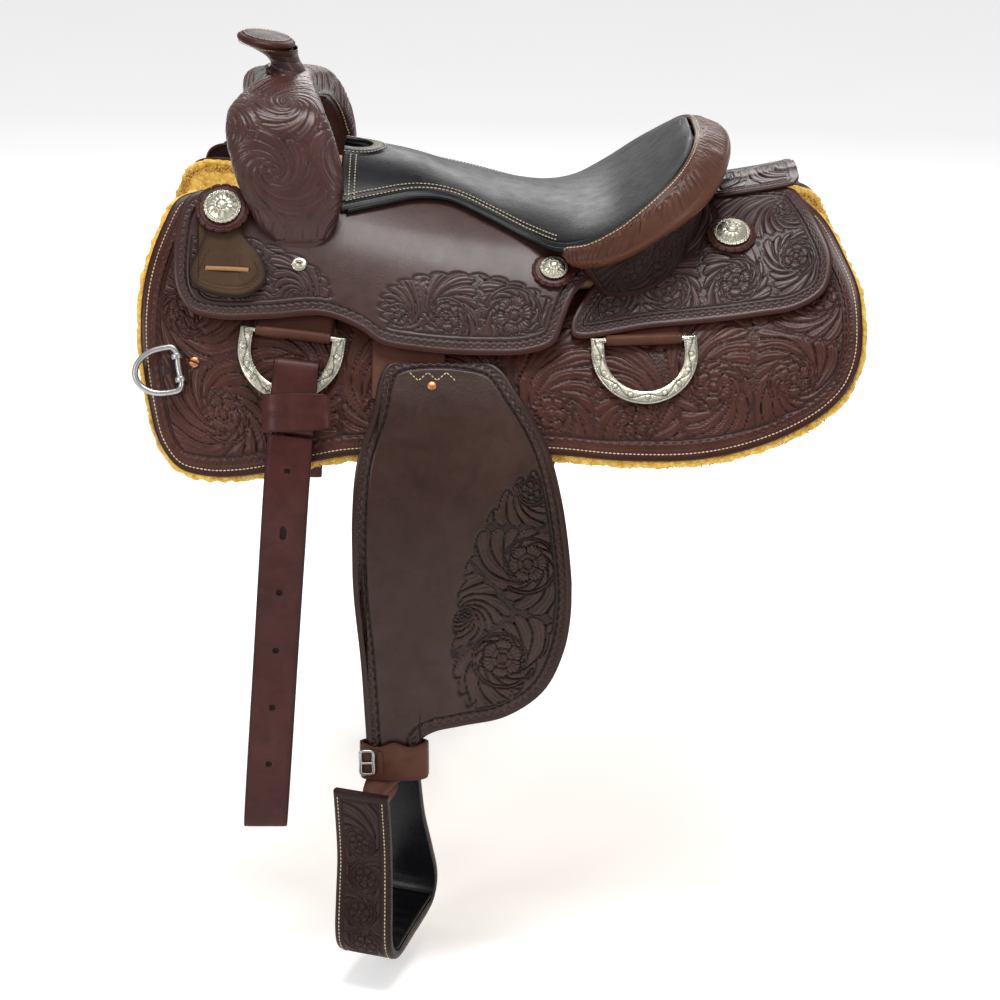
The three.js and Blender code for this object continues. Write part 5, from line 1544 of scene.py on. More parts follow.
def concho_disc(radius, height=8.0, petals=12):
    """A silver disc with petals, rings and a scalloped edge."""
    scallops = lambda a: radius * (1 + 0.018 * np.cos(2 * petals * a))

    def dome(share, a):
        lobe = np.abs(np.cos(petals * a / 2))
        base = height * (0.34 + 0.66 * np.cos(np.clip(share, 0, 1) * np.pi / 2) ** 1.2)
        rope = 0.35 * np.cos(a * petals * 4 + share * 20)
        rope = rope * smooth(share, 0.86, 0.9) * smooth(1 - share, 0, 0.04)
        ridge = 0.7 * bell(share, 0.84, 0.02)
        petal = 0.55 * lobe * bell(share, 0.56, 0.17)
        vein = 0.5 * bell(lobe, 0, 0.14) * bell(share, 0.5, 0.2)
        ring = 0.8 * bell(share, 0.3, 0.025)
        bead = 0.5 * smooth(0.24 - share, 0, 0.1)
        return base + rope - ridge + petal - vein - ring + bead, -ridge - vein - ring + 0.4 * petal

    return disc(dome, scallops, 64, 192)


def rosette_disc(radius, thickness, scallops=16):
    """A leather disc with a scalloped edge."""
    edge = lambda a: radius * (0.95 + 0.05 * np.abs(np.sin(scallops * a / 2)) ** 0.5)

    def leaf_ring(share, a):
        groove = 0.6 * bell(share, 0.88, 0.02)
        cut = 0.7 * bell(np.sin(scallops * a / 2), 0, 0.12) * smooth(share, 0.86, 0.95)
        fall = 0.9 * smooth(share, 0.93, 1.0)
        return thickness - groove - cut - fall, -groove - cut

    return disc(leaf_ring, edge, 40, 192)


def conchos():
    """The three silver discs of each side, on their leather rosettes."""
    for spec in (FRONT_CONCHO, SEAT_CONCHO, REAR_CONCHO):
        axes = axes_on_back(spec["x"], spec["s"])
        radius, thickness = spec["rosette"]
        silver_at = back(spec["x"], spec["s"], spec["level"] + 0.2)
        leather_at = back(spec["x"], spec["s"], spec["level"] - thickness)
        disc_shapes = [moved(s, silver_at, axes) for s in concho_disc(spec["radius"])]
        rosette = [moved(s, leather_at, axes) for s in rosette_disc(radius, thickness)]
        name = spec["name"]
        make_pair(f"{name}_concho_disc", disc_shapes, SILVER, ROOT, [f"{name}_concho"])
        make_pair(f"{name}_rosette", rosette, ROSETTE_LEATHER, ROOT)


def moved(s, origin, axes):
    return {**s, "points": placed(s["points"], origin, axes)}


def domed_head(radius, height):
    dome = lambda share, a: (height * np.sqrt(np.clip(1 - 0.86 * share**2, 0, 1)), 0 * share)
    return disc(dome, lambda a: radius + 0 * a, 14, 40)


def slotted_head(radius, height):
    shapes = domed_head(radius, height)
    top = shapes[0]["points"]
    slot = np.exp(-((top[:, 1] / 0.9) ** 4))
    top[:, 2] -= slot * height * 0.45
    shapes[0]["fields"]["relief"] = -slot
    return shapes


JOCKEY_SCREW_AT = (-196.5, 146)
SKIRT_RIVET_AT = (-299.5, 259)


def small_heads():
    """The screw in the seat jockey and the rivet in the skirt."""
    screw_axes = axes_on_back(*JOCKEY_SCREW_AT)
    screw_at = back(*JOCKEY_SCREW_AT, float(seat_jockey_top(*JOCKEY_SCREW_AT)) + 0.1)
    ferrule = disc(lambda t, a: (1.5 - 0.9 * t**4, 0 * t), lambda a: 7.4 + 0 * a, 16, 48)
    head = slotted_head(4.4, 3.6)
    parts = [moved(s, screw_at, screw_axes) for s in [*ferrule, *head]]
    make_pair("jockey_screw", parts, SILVER, ROOT)
    rivet_at, rivet_axes = back(*SKIRT_RIVET_AT, SKIRT_TOP + 0.2), axes_on_back(*SKIRT_RIVET_AT)
    rivets = [moved(s, rivet_at, rivet_axes) for s in slotted_head(5.4, 3.0)]
    make_pair("skirt_rivet", rivets, COPPER, ROOT)


# ---- keeper ----


KEEPER_SLOT = {"x": -266, "s": 168, "slope": -0.2, "half": 23}


def keeper_slot(x):
    """Distance down the back of the middle of the keeper's slot."""
    return KEEPER_SLOT["s"] + KEEPER_SLOT["slope"] * (x - KEEPER_SLOT["x"])


def keeper_tool(x, s, distance, arc):
    border = stamped_border(distance, arc, 3.4, 8.0, 5.0)
    within_slot = smooth(KEEPER_SLOT["half"] - np.abs(x - KEEPER_SLOT["x"]), 0, 2)
    cut = -0.9 * np.exp(-(((s - keeper_slot(x)) / 1.8) ** 4)) * within_slot
    wrinkle = 0.25 * np.sin(x / 6 + s / 17) * bell(s, 130, 16)
    # The tone darkens the cut slot as painted shade.
    return 0.6 * border * (s > 156) + cut + wrinkle, np.zeros(np.shape(x)) + 0.8 * (cut < -0.4)


def keepers():
    """The keeper leaf and the lace through its slot."""
    level = lambda x, s: seat_jockey_top(x, s) + 6.6
    shapes = panel(KEEPER_OUTLINE, 110, 130, level, 4.0, keeper_tool)
    make_pair("keeper_leaf", shapes, KEEPER_LEATHER, "keeper", ["keeper"])
    x = np.linspace(-287, -245, 40)
    s = keeper_slot(x)
    arch = 1.3 * np.sin(np.clip((x + 287) / 42, 0, 1) * np.pi)
    line = back(x, s, level(x, s) + arch - 0.4)
    laces = [band(line, unit(back(x, s, 1) - back(x, s, 0)), 4.6, 1.6)]
    make_pair("keeper_lace", laces, LACE_LEATHER, "keeper")


def band(line, up, width, thickness, closed=False, across=28, tool=None):
    """A flat strap along a line, `up` being its outer face. tool(along, across) gives relief and tone."""
    tangent = unit(np.roll(line, -1, 0) - np.roll(line, 1, 0)) if closed else unit(np.gradient(line, axis=0))
    side = unit(np.cross(up, tangent))
    up = np.cross(tangent, side)
    width = np.broadcast_to(width, len(line))[:, None]
    half = thickness / 2
    flat = np.linspace(-1, 1, across)
    turn = np.linspace(0, np.pi, 6)[1:-1]
    a = np.concatenate([flat, np.ones(4), flat[::-1][::4], -np.ones(4)])
    reach = np.concatenate([0 * flat, np.sin(turn), 0 * flat[::4], np.sin(turn)])
    h = np.concatenate([flat * 0 + half, half * np.cos(turn), flat[::4] * 0 - half, -half * np.cos(turn)])
    spread = a[None] * (width / 2 - half) + np.sign(a)[None] * reach[None] * half
    along = lengths(line)
    relief = np.zeros((len(line), len(a)))
    tone = relief.copy()
    if tool:
        relief[:, :across], tone[:, :across] = tool(along[:, None] + 0 * flat, spread[:, :across])
    edge = np.exp(-(width / 2 - np.abs(spread)) / 0.9)
    crown = -0.25 * (np.abs(a) ** 4)[None]
    height = h[None] + relief + crown * np.sign(h)[None]
    points = line[:, None] + side[:, None] * spread[..., None] + up[:, None] * height[..., None]
    body = grid(points, loop_rows=closed, loop_columns=True, relief=relief, tone=tone, edge=edge)
    if closed:
        return body
    caps = []
    for k in (0, -1):
        top, under = points[k, :across:4], points[k, across + 4:across + 4 + len(flat[::4])][::-1]
        caps.append(grid(np.stack([top, under[:len(top)]], 1), edge=1))
    return merged([body, *caps])


# ---- rigging dees and their chapes ----

DEE = {"half_width": 52, "drop": 67, "band": 13, "thickness": 4, "bar": 4.6, "level": 27.2}
CHAPE = {"radius": 5.4, "width": 74, "tail": 24, "groove_at": 32.5}
FRONT_DEE = {"x": -202, "s": 208.8, "lean": 1.6, "turn": 6}
REAR_DEE = {"x": 140.5, "s": 187, "lean": 5.6, "turn": 0}


def dee_loops():
    """Matched points round the outer and the inner line of a dee, from the right end of its bar."""
    half, band_width, drop, bar = DEE["half_width"], DEE["band"], DEE["drop"], DEE["bar"] / 2
    lines = []
    for width, top, depth in ((half, bar, drop), (half - band_width, -bar, drop - band_width)):
        across = np.linspace(width, -width, 60)
        bar_part = np.stack([across, np.full(60, float(top))], -1)
        down = np.linspace(top, -14, 14)[1:-1]
        left = np.stack([np.full(12, -float(width)), down], -1)
        angle = np.linspace(np.pi, 2 * np.pi, 150)
        bow = np.stack([width * np.cos(angle), -14 + (depth - 14) * np.sin(angle)], -1)
        right = np.stack([np.full(12, float(width)), down[::-1]], -1)
        lines.append(np.vstack([bar_part, left, bow, right]))
    return lines


def dee_plate():
    """The flat silver plate of a rigging dee."""
    outer, inner = dee_loops()
    half = DEE["thickness"] / 2
    across = np.linspace(0, 1, 17)
    wide = np.linalg.norm(outer - inner, axis=1)[:, None]
    gap = np.minimum(across, 1 - across)[None] * wide
    dome = half - 0.9 * np.exp(-gap / 0.8) + 0.35 * (1 - (2 * across - 1) ** 2)[None]
    step = np.linalg.norm(np.roll(outer, -1, 0) - outer, axis=1)
    arc = np.cumsum(step)[:, None]
    v = (across[None] - 0.5) * wide
    vine = 2.6 * np.sin(arc / 6.2)
    ring = np.hypot((arc % 19.5) - 9.7, v)
    curl = bell(np.abs(v - vine), 0, 0.8) + 0.8 * bell(np.abs(ring - 2.9), 0, 0.7)
    edge_line = bell(gap, 1.9, 0.45)
    on_band = (wide > 8) & (gap > 0.6)
    cut = -np.clip(curl + edge_line, 0, 1) * on_band
    dome = dome + 0.3 * cut
    flat = outer[:, None] * (1 - across)[None, :, None] + inner[:, None] * across[None, :, None]
    top = np.concatenate([flat, dome[..., None]], -1)
    under = np.concatenate([flat, -dome[..., None] * 0.9], -1)[:, ::-1]
    ring = np.concatenate([top, under], 1)
    relief = np.concatenate([cut * 0.8, 0 * cut], 1)
    return grid(ring, loop_rows=True, loop_columns=True, relief=relief)


def chape_roll():
    """A leather loop round a bar, from its tail under the jockey, over the bar and back."""
    r = CHAPE["radius"]
    angle = np.linspace(-np.pi / 2, -1.97 * np.pi, 60)
    bend = np.stack([(r - 0.9) * np.cos(angle), (r - 0.9) * np.sin(angle)], -1)
    tail = np.stack([np.linspace(CHAPE["tail"], 0, 16), np.full(16, -r + 0.9)], -1)
    line = np.vstack([tail[:-1], bend])
    path = np.stack([0 * line[:, 0], line[:, 0], line[:, 1]], -1)
    tangent = unit(np.gradient(path, axis=0))
    up = np.cross(tangent, [1.0, 0, 0])
    if (up[30] @ path[30]) < 0:
        up = -up
    tool = lambda p, w: (-0.35 * bell(np.abs(w), CHAPE["groove_at"], 0.8), 0 * w)
    return band(path, up, CHAPE["width"], 1.8, across=60, tool=tool)


def dees():
    for name, spec in (("front", FRONT_DEE), ("rear", REAR_DEE)):
        origin = back(spec["x"], spec["s"], DEE["level"])
        flat_axes = turned(axes_on_back(spec["x"], spec["s"]), spec["turn"])
        hung = turned(axes_on_back(spec["x"], spec["s"]), spec["turn"], spec["lean"])
        plate, roll = moved(dee_plate(), origin, hung), moved(chape_roll(), origin, flat_axes)
        make_pair(f"{name}_dee_plate", plate, SILVER, f"{name}_dee", [f"{name}_dee"])
        make_pair(f"{name}_chape_roll", roll, RIG_LEATHER, ROOT, [f"{name}_chape"])


# ---- breast dee ----

BREAST = {"x": -314, "s": 270, "level": 28.2, "turn": -60, "width": 44, "depth": 43, "wire": 3.0}


def breast_dees():
    axes = turned(axes_on_back(BREAST["x"], BREAST["s"]), BREAST["turn"])
    origin = back(BREAST["x"], BREAST["s"], BREAST["level"])
    half = BREAST["width"] / 2
    points = [(-half + 5, 0), (0, 0), (half - 5, 0), (half - 0.6, -3.5), (half, -9), (half, -14)]
    angle = np.linspace(0, np.pi, 12)[1:-1]
    points += [(half * math.cos(a), -14 - (BREAST["depth"] - 14) * math.sin(a)) for a in angle]
    points += [(-half, -14), (-half, -9), (-half + 0.6, -3.5)]
    line = smooth_line(points, 150, closed=True)
    ring = tube(np.c_[line, 0 * line[:, 0]], BREAST["wire"], 16, closed=True)
    make_pair("breast_dee_ring", moved(ring, origin, axes), STEEL, "breast_dee", ["breast_dee"])
    floor = SKIRT_TOP + 0.3 - BREAST["level"]
    staples = []
    for side in (-1, 1):
        bend = np.linspace(-0.18 * np.pi, 1.18 * np.pi, 24)
        arch = np.stack([4.9 * np.cos(bend), 4.9 * np.sin(bend)], -1)
        arch = np.vstack([[(5.4, floor)], arch, [(-5.4, floor)]])
        path = np.stack([np.full(len(arch), side * 11.5), arch[:, 0], arch[:, 1]], -1)
        up = path - np.array([side * 11.5, 0, 0])
        staples.append(moved(band(path, unit(up), 5.4, 1.3, across=10), origin, axes))
    make_pair("breast_dee_staples", staples, STEEL, ROOT)
    u, v = np.linspace(-17, 17, 60)[:, None], np.linspace(-7.5, 7.5, 30)[None]
    pad = np.stack(np.broadcast_arrays(u, v, floor + 1.4 + 0 * u), -1)
    pad[..., 0] *= 1 - 0.2 * np.abs(v / 7.5) ** 3
    plates = [moved(s, origin, axes) for s in thick_sheet(pad, 1.4)]
    make_pair("breast_dee_washer", plates, ROSETTE_LEATHER, ROOT, ["breast_dee_plate"])


# ---- latigo and off billet ----

STRAP = {"width": 44, "thickness": 3, "level_below": -420, "level_fade": 180, "start": 304}
LATIGO = {"lean": 0.086, "foot": -590, "x": -198}
OFF_BILLET = {"lean": 0.05, "foot": -385, "x": -216}


def strap_place(x, s, height):
    return tuple(back(float(x), float(s), float(height))[1:])


def strap_loop_path(strap):
    rows = [
        (234, 33), (237, 38), (250, 40.5), (280, 40), (296, 38.6), (300, 36),
        (300, 28), (296, 26), (280, 26), (257, 24.2), (243, 24), (236, 27),
    ]
    return [strap_place(strap["x"], s, height) for s, height in rows]


def strap_leaves_path(strap):
    """Path down the outer leaf of a strap, round its foot and up the inner leaf."""
    x, foot = strap["x"], strap["foot"]
    outer, inner = strap_place(x, 350, 36.5), strap_place(x, 352, 27.5)
    bend = (outer[0] + inner[0]) / 2
    return [
        strap_place(x, STRAP["start"], 38), strap_place(x, 325, 37.4), outer,
        (outer[0] - 3, outer[1] - 60), (outer[0] - 3, (outer[1] + foot) / 2),
        (outer[0] - 1, foot + 14), (bend, foot + 2), (inner[0] + 1, foot + 14),
        (inner[0], (inner[1] + foot) / 2), (inner[0], inner[1] - 60), inner,
        strap_place(x, 325, 27), strap_place(x, STRAP["start"], 27),
    ]


def strap_lines(path, strap, count, closed, across):
    """Lines across the width of a strap that follows a path seen from the front."""
    line = smooth_line(path, count, closed)
    top = strap_place(strap["x"], 243, 33)[1]
    slope = turned(axes_on_back(FRONT_DEE["x"], FRONT_DEE["s"]), FRONT_DEE["turn"], FRONT_DEE["lean"])[0]
    slope = slope / slope[0]
    y, z = line[:, :1], line[:, 1:]
    follow = smooth((z - STRAP["level_below"]) / STRAP["level_fade"])
    reach = across[None] * STRAP["width"] / 2
    x = strap["x"] + reach - strap["lean"] * (top - z)
    return np.stack([x, y + slope[1] * reach * follow, z + slope[2] * reach * follow], -1)


def strap_body(path, strap, count, closed, tool=None):
    """A thin strap along a path, with rounded sides."""
    across = np.linspace(-1, 1, 34)
    middle = strap_lines(path, strap, count, closed, across)
    if closed:
        down = np.roll(middle, -1, 0) - np.roll(middle, 1, 0)
    else:
        down = np.gradient(middle, axis=0)
    out = unit(np.cross(np.gradient(middle, axis=1), down))
    if out[count // 12, 17, 1] > 0:
        out = -out
    half = STRAP["thickness"] / 2
    gap = (1 - np.abs(across)) * STRAP["width"] / 2
    thin = half * np.sqrt(np.clip(1 - np.clip(1 - gap / half, 0, 1) ** 2, 0.02, 1))[None]
    along = lengths(middle[:, middle.shape[1] // 2])[:, None]
    relief, tone = tool(along, across[None] * STRAP["width"] / 2) if tool else (0 * thin + 0 * along,) * 2
    edge = np.exp(-gap / 1.2)[None] + 0 * along
    upper = middle + out * (thin + relief)[..., None]
    lower = (middle - out * (thin + 0 * along)[..., None])[:, ::-1]
    ring = np.concatenate([upper, lower], 1)
    fields = {
        "relief": np.concatenate([relief, relief[:, ::-1] * 0.9], 1), "edge": np.concatenate([edge, edge], 1),
        "tone": np.concatenate([tone, tone[:, ::-1]], 1),
    }
    body = grid(ring, loop_rows=closed, loop_columns=True, **fields)
    if closed:
        return body
    ends = [grid(np.stack([upper[k], lower[k][::-1]], 1), edge=1) for k in (0, -1)]
    return merged([body, *ends])


STRAP_GROOVE_AT = 19.4


def strap_holes(first, pitch, count, slot=None):
    """Tooling with punched holes at even steps along a strap; one of them can be a slot."""
    def tool(along, across):
        relief = 0.18 * np.sin(along / 47) + 0 * across
        for k in range(count):
            stretch = 2.6 if k == slot else 1.0
            r = np.hypot((along - first - k * pitch) / stretch, across + 0.0)
            relief = relief - 1.6 * smooth(3.3 - r, 0, 1.0) + 0.25 * bell(r, 4.4, 0.9)
        edge_groove = -0.3 * bell(np.abs(across), STRAP_GROOVE_AT, 0.6)
        # The deep dents and this tone darken each punched hole as painted shade, since the holes are not cut
        # through.
        return relief + edge_groove, 0 * relief + 0.9 * (relief < -0.9)
    return tool


def straps():
    """The latigo on the near side and the billet on the off side."""
    plain_loop = lambda along, across: (-0.3 * bell(np.abs(across), STRAP_GROOVE_AT, 0.6) + 0 * along,
                                        0 * along + 0 * across)
    both = (("latigo", LATIGO, "near", "latigo", 6), ("billet", OFF_BILLET, "off", "off_billet", 2))
    for name, strap, side, leaves, holes in both:
        loop = strap_body(strap_loop_path(strap), strap, 260, True, plain_loop)
        count = int(-strap["foot"] * 1.5)
        hung = strap_body(strap_leaves_path(strap), strap, count, False, strap_holes(34, 62, holes, 1))
        knot = knot_band(strap)
        pieces = [("loop_strap", loop, f"front_dee_{side}", f"{name}_loop"), ("leaves", hung, leaves, leaves),
                  ("knot_band", knot, f"front_dee_{side}", None)]
        for part, body_shape, body, node in pieces:
            s = mirrored(body_shape) if side == "off" else body_shape
            make(f"{name}_{part}", s, LATIGO_LEATHER, body, [node] if node else [])


def knot_band(strap):
    """The turn of the strap that is drawn across the loop to lock it."""
    x = np.linspace(-27.5, 37, 70)
    ends = np.abs((x - 5) / 32.3) ** 6
    s = 284 - 0.24 * x
    height = 43.4 - 5.5 * ends
    line = back(strap["x"] + x - 4.0, s, height)
    slope = turned(axes_on_back(FRONT_DEE["x"], FRONT_DEE["s"]), FRONT_DEE["turn"], FRONT_DEE["lean"])[0]
    up = unit(back(strap["x"] + x, s, 1.0) - back(strap["x"] + x, s, 0.0))
    line = line + (slope / slope[0] - [1, 0, 0]) * x[:, None] * 0.25
    width = 38 - 5 * np.clip(x / 37, 0, 1) ** 2

    def crease(along, across):
        return 0.35 * np.sin(across / 4.5 + along / 30) * bell(across, 0, 20), 0 * along

    return band(line, up, width, 3.2, across=44, tool=crease)


# ---- stirrup leather, hobble and stirrup ----

LEATHER_CENTRE_X = -89
LEATHER_HALF_WIDTH = 36
BOLT = np.array([-121.0, -282, -538])
STIRRUP = {"turn": 20, "tilt": 8, "depth": 56, "wall": 8, "floor": -150, "bolt_radius": 5}
STIRRUP_HALF = [(44, 31), (45, 0), (48, -40), (59, -90), (66, -122), (65, -138), (57, -151), (44, -158)]
HOBBLE = {"x": -105, "bottom": -517, "top": -481, "half": 34, "wall": 3.2}


def stirrup_axes():
    turn, tilt = math.radians(-STIRRUP["turn"]), math.radians(STIRRUP["tilt"])
    c, s = math.cos(turn), math.sin(turn)
    x_axis = np.array([c, s, 0])
    y_flat, z_flat = np.array([-s, c, 0]), np.array([0, 0, 1.0])
    y_axis = y_flat * math.cos(tilt) + z_flat * math.sin(tilt)
    z_axis = z_flat * math.cos(tilt) - y_flat * math.sin(tilt)
    return x_axis, y_axis, z_axis


def upper_strap():
    """From under the jockey, down behind the top of the fender."""
    s = np.linspace(196, 219, 22)
    top = back(LEATHER_CENTRE_X, s, 24.0)
    q = np.linspace(12, 40, 40)
    lower = hanging(LEATHER_CENTRE_X, q, -7.4)
    line = smooth_line(np.vstack([top[::6], lower[::8]]), 90)
    tangent = unit(np.gradient(line, axis=0))
    up = np.cross(tangent, [1.0, 0, 0])
    up *= -np.sign(up[:, 1:2])
    strap = band(line, up, 2 * LEATHER_HALF_WIDTH, 3.2, across=50)
    for side in ("near", "off"):
        s = strap if side == "near" else mirrored(strap)
        node = f"stirrup_leather_{side}"
        piece = make(f"stirrup_leather_bend_{side}", s, RIG_LEATHER, None, [node])
        sign = -1 if side == "near" else 1
        start, end = back(-84.0, 208.0, 24.0) * MM, back(-84.0, 222.0, 24.0) * MM
        start[1], end[1] = sign * abs(start[1]), sign * abs(end[1])
        tuple(start)
        tuple(end)
        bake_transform(piece)


def hanging_strap():
    """Down behind the fender, then twisted a quarter turn and looped round the bolt."""
    q = np.linspace(float(HANG_AT[-1]) * 0.12, HANG_AT[-1] - 3, 120)
    share = q / HANG_AT[-1]
    narrow = smooth(share, 0.6, 1.0)
    x = mix(LEATHER_CENTRE_X, HOBBLE["x"], narrow)
    line = hanging(x, q, -6.9)
    half = mix(LEATHER_HALF_WIDTH, 24, narrow)
    tangent = unit(np.gradient(line, axis=0))
    up = np.cross(tangent, [1.0, 0, 0])
    up *= -np.sign(up[:, 1:2])
    shapes = [band(line, up, 2 * half, 3.2, across=40)]
    shapes += neck(line[-1])
    make_pair("hanging_strap", shapes, RIG_LEATHER, "fender", ["stirrup_strap"])


def neck(top):
    """The gathered leather under the hobble, with the roll round the stirrup's bolt."""
    axes = stirrup_axes()
    t = np.linspace(0, 1, 60)
    z = mix(top[2], BOLT[2] + 4, t)
    twist = smooth(t, 0.3, 1.0)
    centre = np.stack([mix(HOBBLE["x"], BOLT[0], twist), mix(top[1], BOLT[1], twist), z], -1)
    turn = np.radians(mix(0, 90 - STIRRUP["turn"], twist))
    half_x, half_y = mix(23, 26, t), mix(1.8, 9.5, twist)
    angle = np.linspace(0, 2 * np.pi, 48, endpoint=False)
    soft = lambda v: np.sign(v) * np.abs(v) ** 0.45
    a, b = soft(np.cos(angle))[None], soft(np.sin(angle))[None]
    layers = 1 + 0.03 * np.cos(angle * 9)[None]
    u, v = half_x[:, None] * a * layers, half_y[:, None] * b * layers
    c, s = np.cos(turn)[:, None], np.sin(turn)[:, None]
    ring = np.stack([centre[:, :1] + u * c - v * s, centre[:, 1:2] + u * s + v * c, z[:, None] + 0 * u], -1)
    length, radius = 27, 11.6
    y = np.linspace(-length, length, 40)[:, None]
    turns = np.linspace(0, 2 * np.pi, 60, endpoint=False)[None]
    swell_at = radius * (1 - 0.1 * np.abs(y / length) ** 8) + 0.25 * np.cos(y * 1.4)
    roll = np.stack(np.broadcast_arrays(swell_at * np.cos(turns), y, swell_at * np.sin(turns)), -1)
    caps = [fan(placed(roll[k], BOLT, axes), edge=1) for k in (0, -1)]
    return [grid(ring, loop_columns=True), grid(placed(roll, BOLT, axes), loop_columns=True), *caps]


def hobbles():
    """A short strap with a wavy upper edge and a buckle, round the fender's foot and the strap behind it."""
    outer = HANG[-1, 0] - 1.4 - HOBBLE["wall"] / 2
    inner = outer + 1.4 + 5.2 + 3.4 + 1.6 + HOBBLE["wall"] - 0.6
    half, corner = HOBBLE["half"] - 1.6, 4.0
    outline = [
        (-half, outer + corner), (-half + 1, outer + 1), (-half + corner, outer), (half - corner, outer),
        (half - 1, outer + 1), (half, outer + corner), (half, inner - corner), (half - corner, inner),
        (-half + corner, inner), (-half, inner - corner),
    ]
    ring = smooth_line([(HOBBLE["x"] + a, b) for a, b in outline], 260, closed=True)
    angle_x = (ring[:, 0] - HOBBLE["x"]) / half
    front = ring[:, 1] < (outer + inner) / 2
    top = HOBBLE["top"] + np.where(front, 2.2 * np.cos(angle_x * 6.2), 0)
    bottom = HOBBLE["bottom"] - np.where(front, 3.0 * (1 - angle_x**4), 0)
    v = np.linspace(0, 1, 34)
    z = top[:, None] + (bottom - top)[:, None] * v
    out = outward(ring)
    edge_gap_here = np.minimum(v, 1 - v)[None] * (top - bottom)[:, None]
    groove = -0.45 * bell(edge_gap_here, 3.2, 0.6)
    soft_edge = -0.7 * np.exp(-edge_gap_here / 0.9)
    half_wall = HOBBLE["wall"] / 2
    face = ring[:, None] + out[:, None] * (half_wall + groove + soft_edge)[..., None]
    under = ring[:, None] - out[:, None] * half_wall + 0 * face
    outside = np.concatenate([face, z[..., None]], -1)
    inside = np.concatenate([under, z[..., None]], -1)[:, ::-1]
    edge = np.exp(-edge_gap_here / 1.3)
    section = np.concatenate([outside, inside], 1)
    edge, relief = np.concatenate([edge, edge[:, ::-1]], 1), np.concatenate([groove, 0 * groove], 1)
    strap = grid(section, loop_rows=True, loop_columns=True, edge=edge, relief=relief)
    make_pair("hobble_strap", strap, HOBBLE_LEATHER, "fender", ["hobble"])
    buckle(outer)


def buckle(outer):
    """The hobble's wire buckle and its keeper."""
    x0, z0 = HOBBLE["x"] - 27, (HOBBLE["top"] + HOBBLE["bottom"]) / 2
    y = outer - 3.4
    outline = [
        (-5, 12), (0, 12.6), (5, 12), (6.2, 10.5), (6.2, 0), (6.2, -10.5), (5, -12), (0, -12.6),
        (-5, -12), (-6.2, -10.5), (-6.2, 0), (-6.2, 10.5),
    ]
    line = smooth_line(outline, 90, closed=True)
    path = np.stack([x0 + line[:, 0], np.full(90, y), z0 + line[:, 1]], -1)
    pin_y = y - 1.4 * np.sin(np.linspace(0, np.pi, 20))
    pin = np.stack([np.linspace(x0 - 6, x0 + 7, 20), pin_y, np.full(20, z0)], -1)
    wires = [tube(path, 1.7, 10, closed=True), tube(pin, 1.3, 8)]
    make_pair("hobble_buckle", wires, STEEL, "fender")
    z = np.linspace(z0 - 12, z0 + 12, 30)
    keeper_line = np.stack([np.full(30, x0 + 13), np.full(30, y + 0.2), z], -1)
    up = np.tile([0.0, -1, 0], (30, 1))
    keeper = band(keeper_line, up, 6, 2.0, across=12)
    make_pair("hobble_keeper", keeper, HOBBLE_LEATHER, "fender")


def stirrup_profile(count):
    """The outer line of the stirrup seen from the front, off top corner round under to near top corner."""
    down = [(y, z) for y, z in STIRRUP_HALF]
    up = [(-y, z) for y, z in STIRRUP_HALF[::-1]]
    return smooth_line(down + up, count)


def stirrups():
    axes = stirrup_axes()
    count, across = 420, 90
    line = stirrup_profile(count)
    out = outward_open(line)
    step = lengths(line)
    half = STIRRUP["depth"] / 2
    u = np.linspace(-1, 1, across)[None]
    wide = 1 + 0.05 * np.sin(np.clip(np.abs(step - step[-1] / 2) / 165, 0, 1) * np.pi)[:, None]
    x = u * half * wide
    w = step[:, None] + 0 * x
    gap = np.minimum(half * wide - np.abs(x), np.minimum(w, step[-1] - w) + 1.5)
    middle = step[-1] / 2
    places = [(3 * (-1) ** k, middle + side * offset, 21, 0.9 * k, (-1) ** k)
              for side in (-1, 1) for k, offset in enumerate((80, 116, 154, 190))]
    tooled, ground = within(floral(x, w, places, 10), np.minimum(gap - 9, np.abs(w - middle) - 60))
    groove = -0.5 * bell(gap, 7.4, 0.7)
    relief = 0.9 * tooled + groove - 0.9 * np.exp(-gap / 1.2)
    lift = 0.6 + relief
    face = np.stack([x, line[:, :1] + out[:, :1] * lift, line[:, 1:] + out[:, 1:] * lift], -1)
    inner_line = inner_profile(line, out)
    lining = np.stack([x, inner_line[:, :1] + 0 * x, inner_line[:, 1:] + 0 * x], -1)
    border = np.stack([mix(border_of(face), border_of(lining), t) for t in np.linspace(0, 1, 5)], 1)
    bulge = np.array([0, 0.5, 0.75, 0.5, 0])[None, :, None] * 1.3
    border = border + bulge * np.sign(border[..., :1]) * (np.abs(border[..., :1]) > half * 0.9) * [1, 0, 0]
    outside = [grid(face, relief=relief, tone=ground, edge=np.exp(-gap / 1.6)),
               grid(border, loop_rows=True, edge=0.6)]
    shell = [moved(s, BOLT, axes) for s in outside]
    make_pair("stirrup_cover", shell, STIRRUP_LEATHER, "stirrup", ["stirrup"])
    # The inner face is darkened a little by tone: painted shade.
    inner_face = moved(grid(lining, tone=0.2), BOLT, axes)
    make_pair("stirrup_lining", inner_face, SEAT_LEATHER, "stirrup")
    rows = []
    i = np.arange(4, count - 4)
    for sign in (-1, 1):
        k = np.abs(x - sign * (half * wide - 4.6)).argmin(1)[i]
        path = face[i, k]
        normal = np.c_[0 * i, out[i]]
        keep = np.abs(step[i] - middle) > 50
        for part in (keep & (step[i] < middle), keep & (step[i] > middle)):
            rows.append(stitches(placed(path[part], BOLT, axes),
                                 placed(normal[part], np.zeros(3), axes)))
    make_pair("stirrup_stitching", rows, THREAD, "stirrup")
    stirrup_tread(axes)
    stirrup_bolt(axes)


def outward_open(line):
    tangent = unit(np.gradient(line, axis=0))
    return np.stack([-tangent[:, 1], tangent[:, 0]], -1)


def inner_profile(line, out):
    """The inside of the stirrup: its outer line moved in by the wall, and level at the floor."""
    moved_in = line - out * STIRRUP["wall"]
    moved_in[:, 1] = np.maximum(moved_in[:, 1], STIRRUP["floor"])
    return moved_in


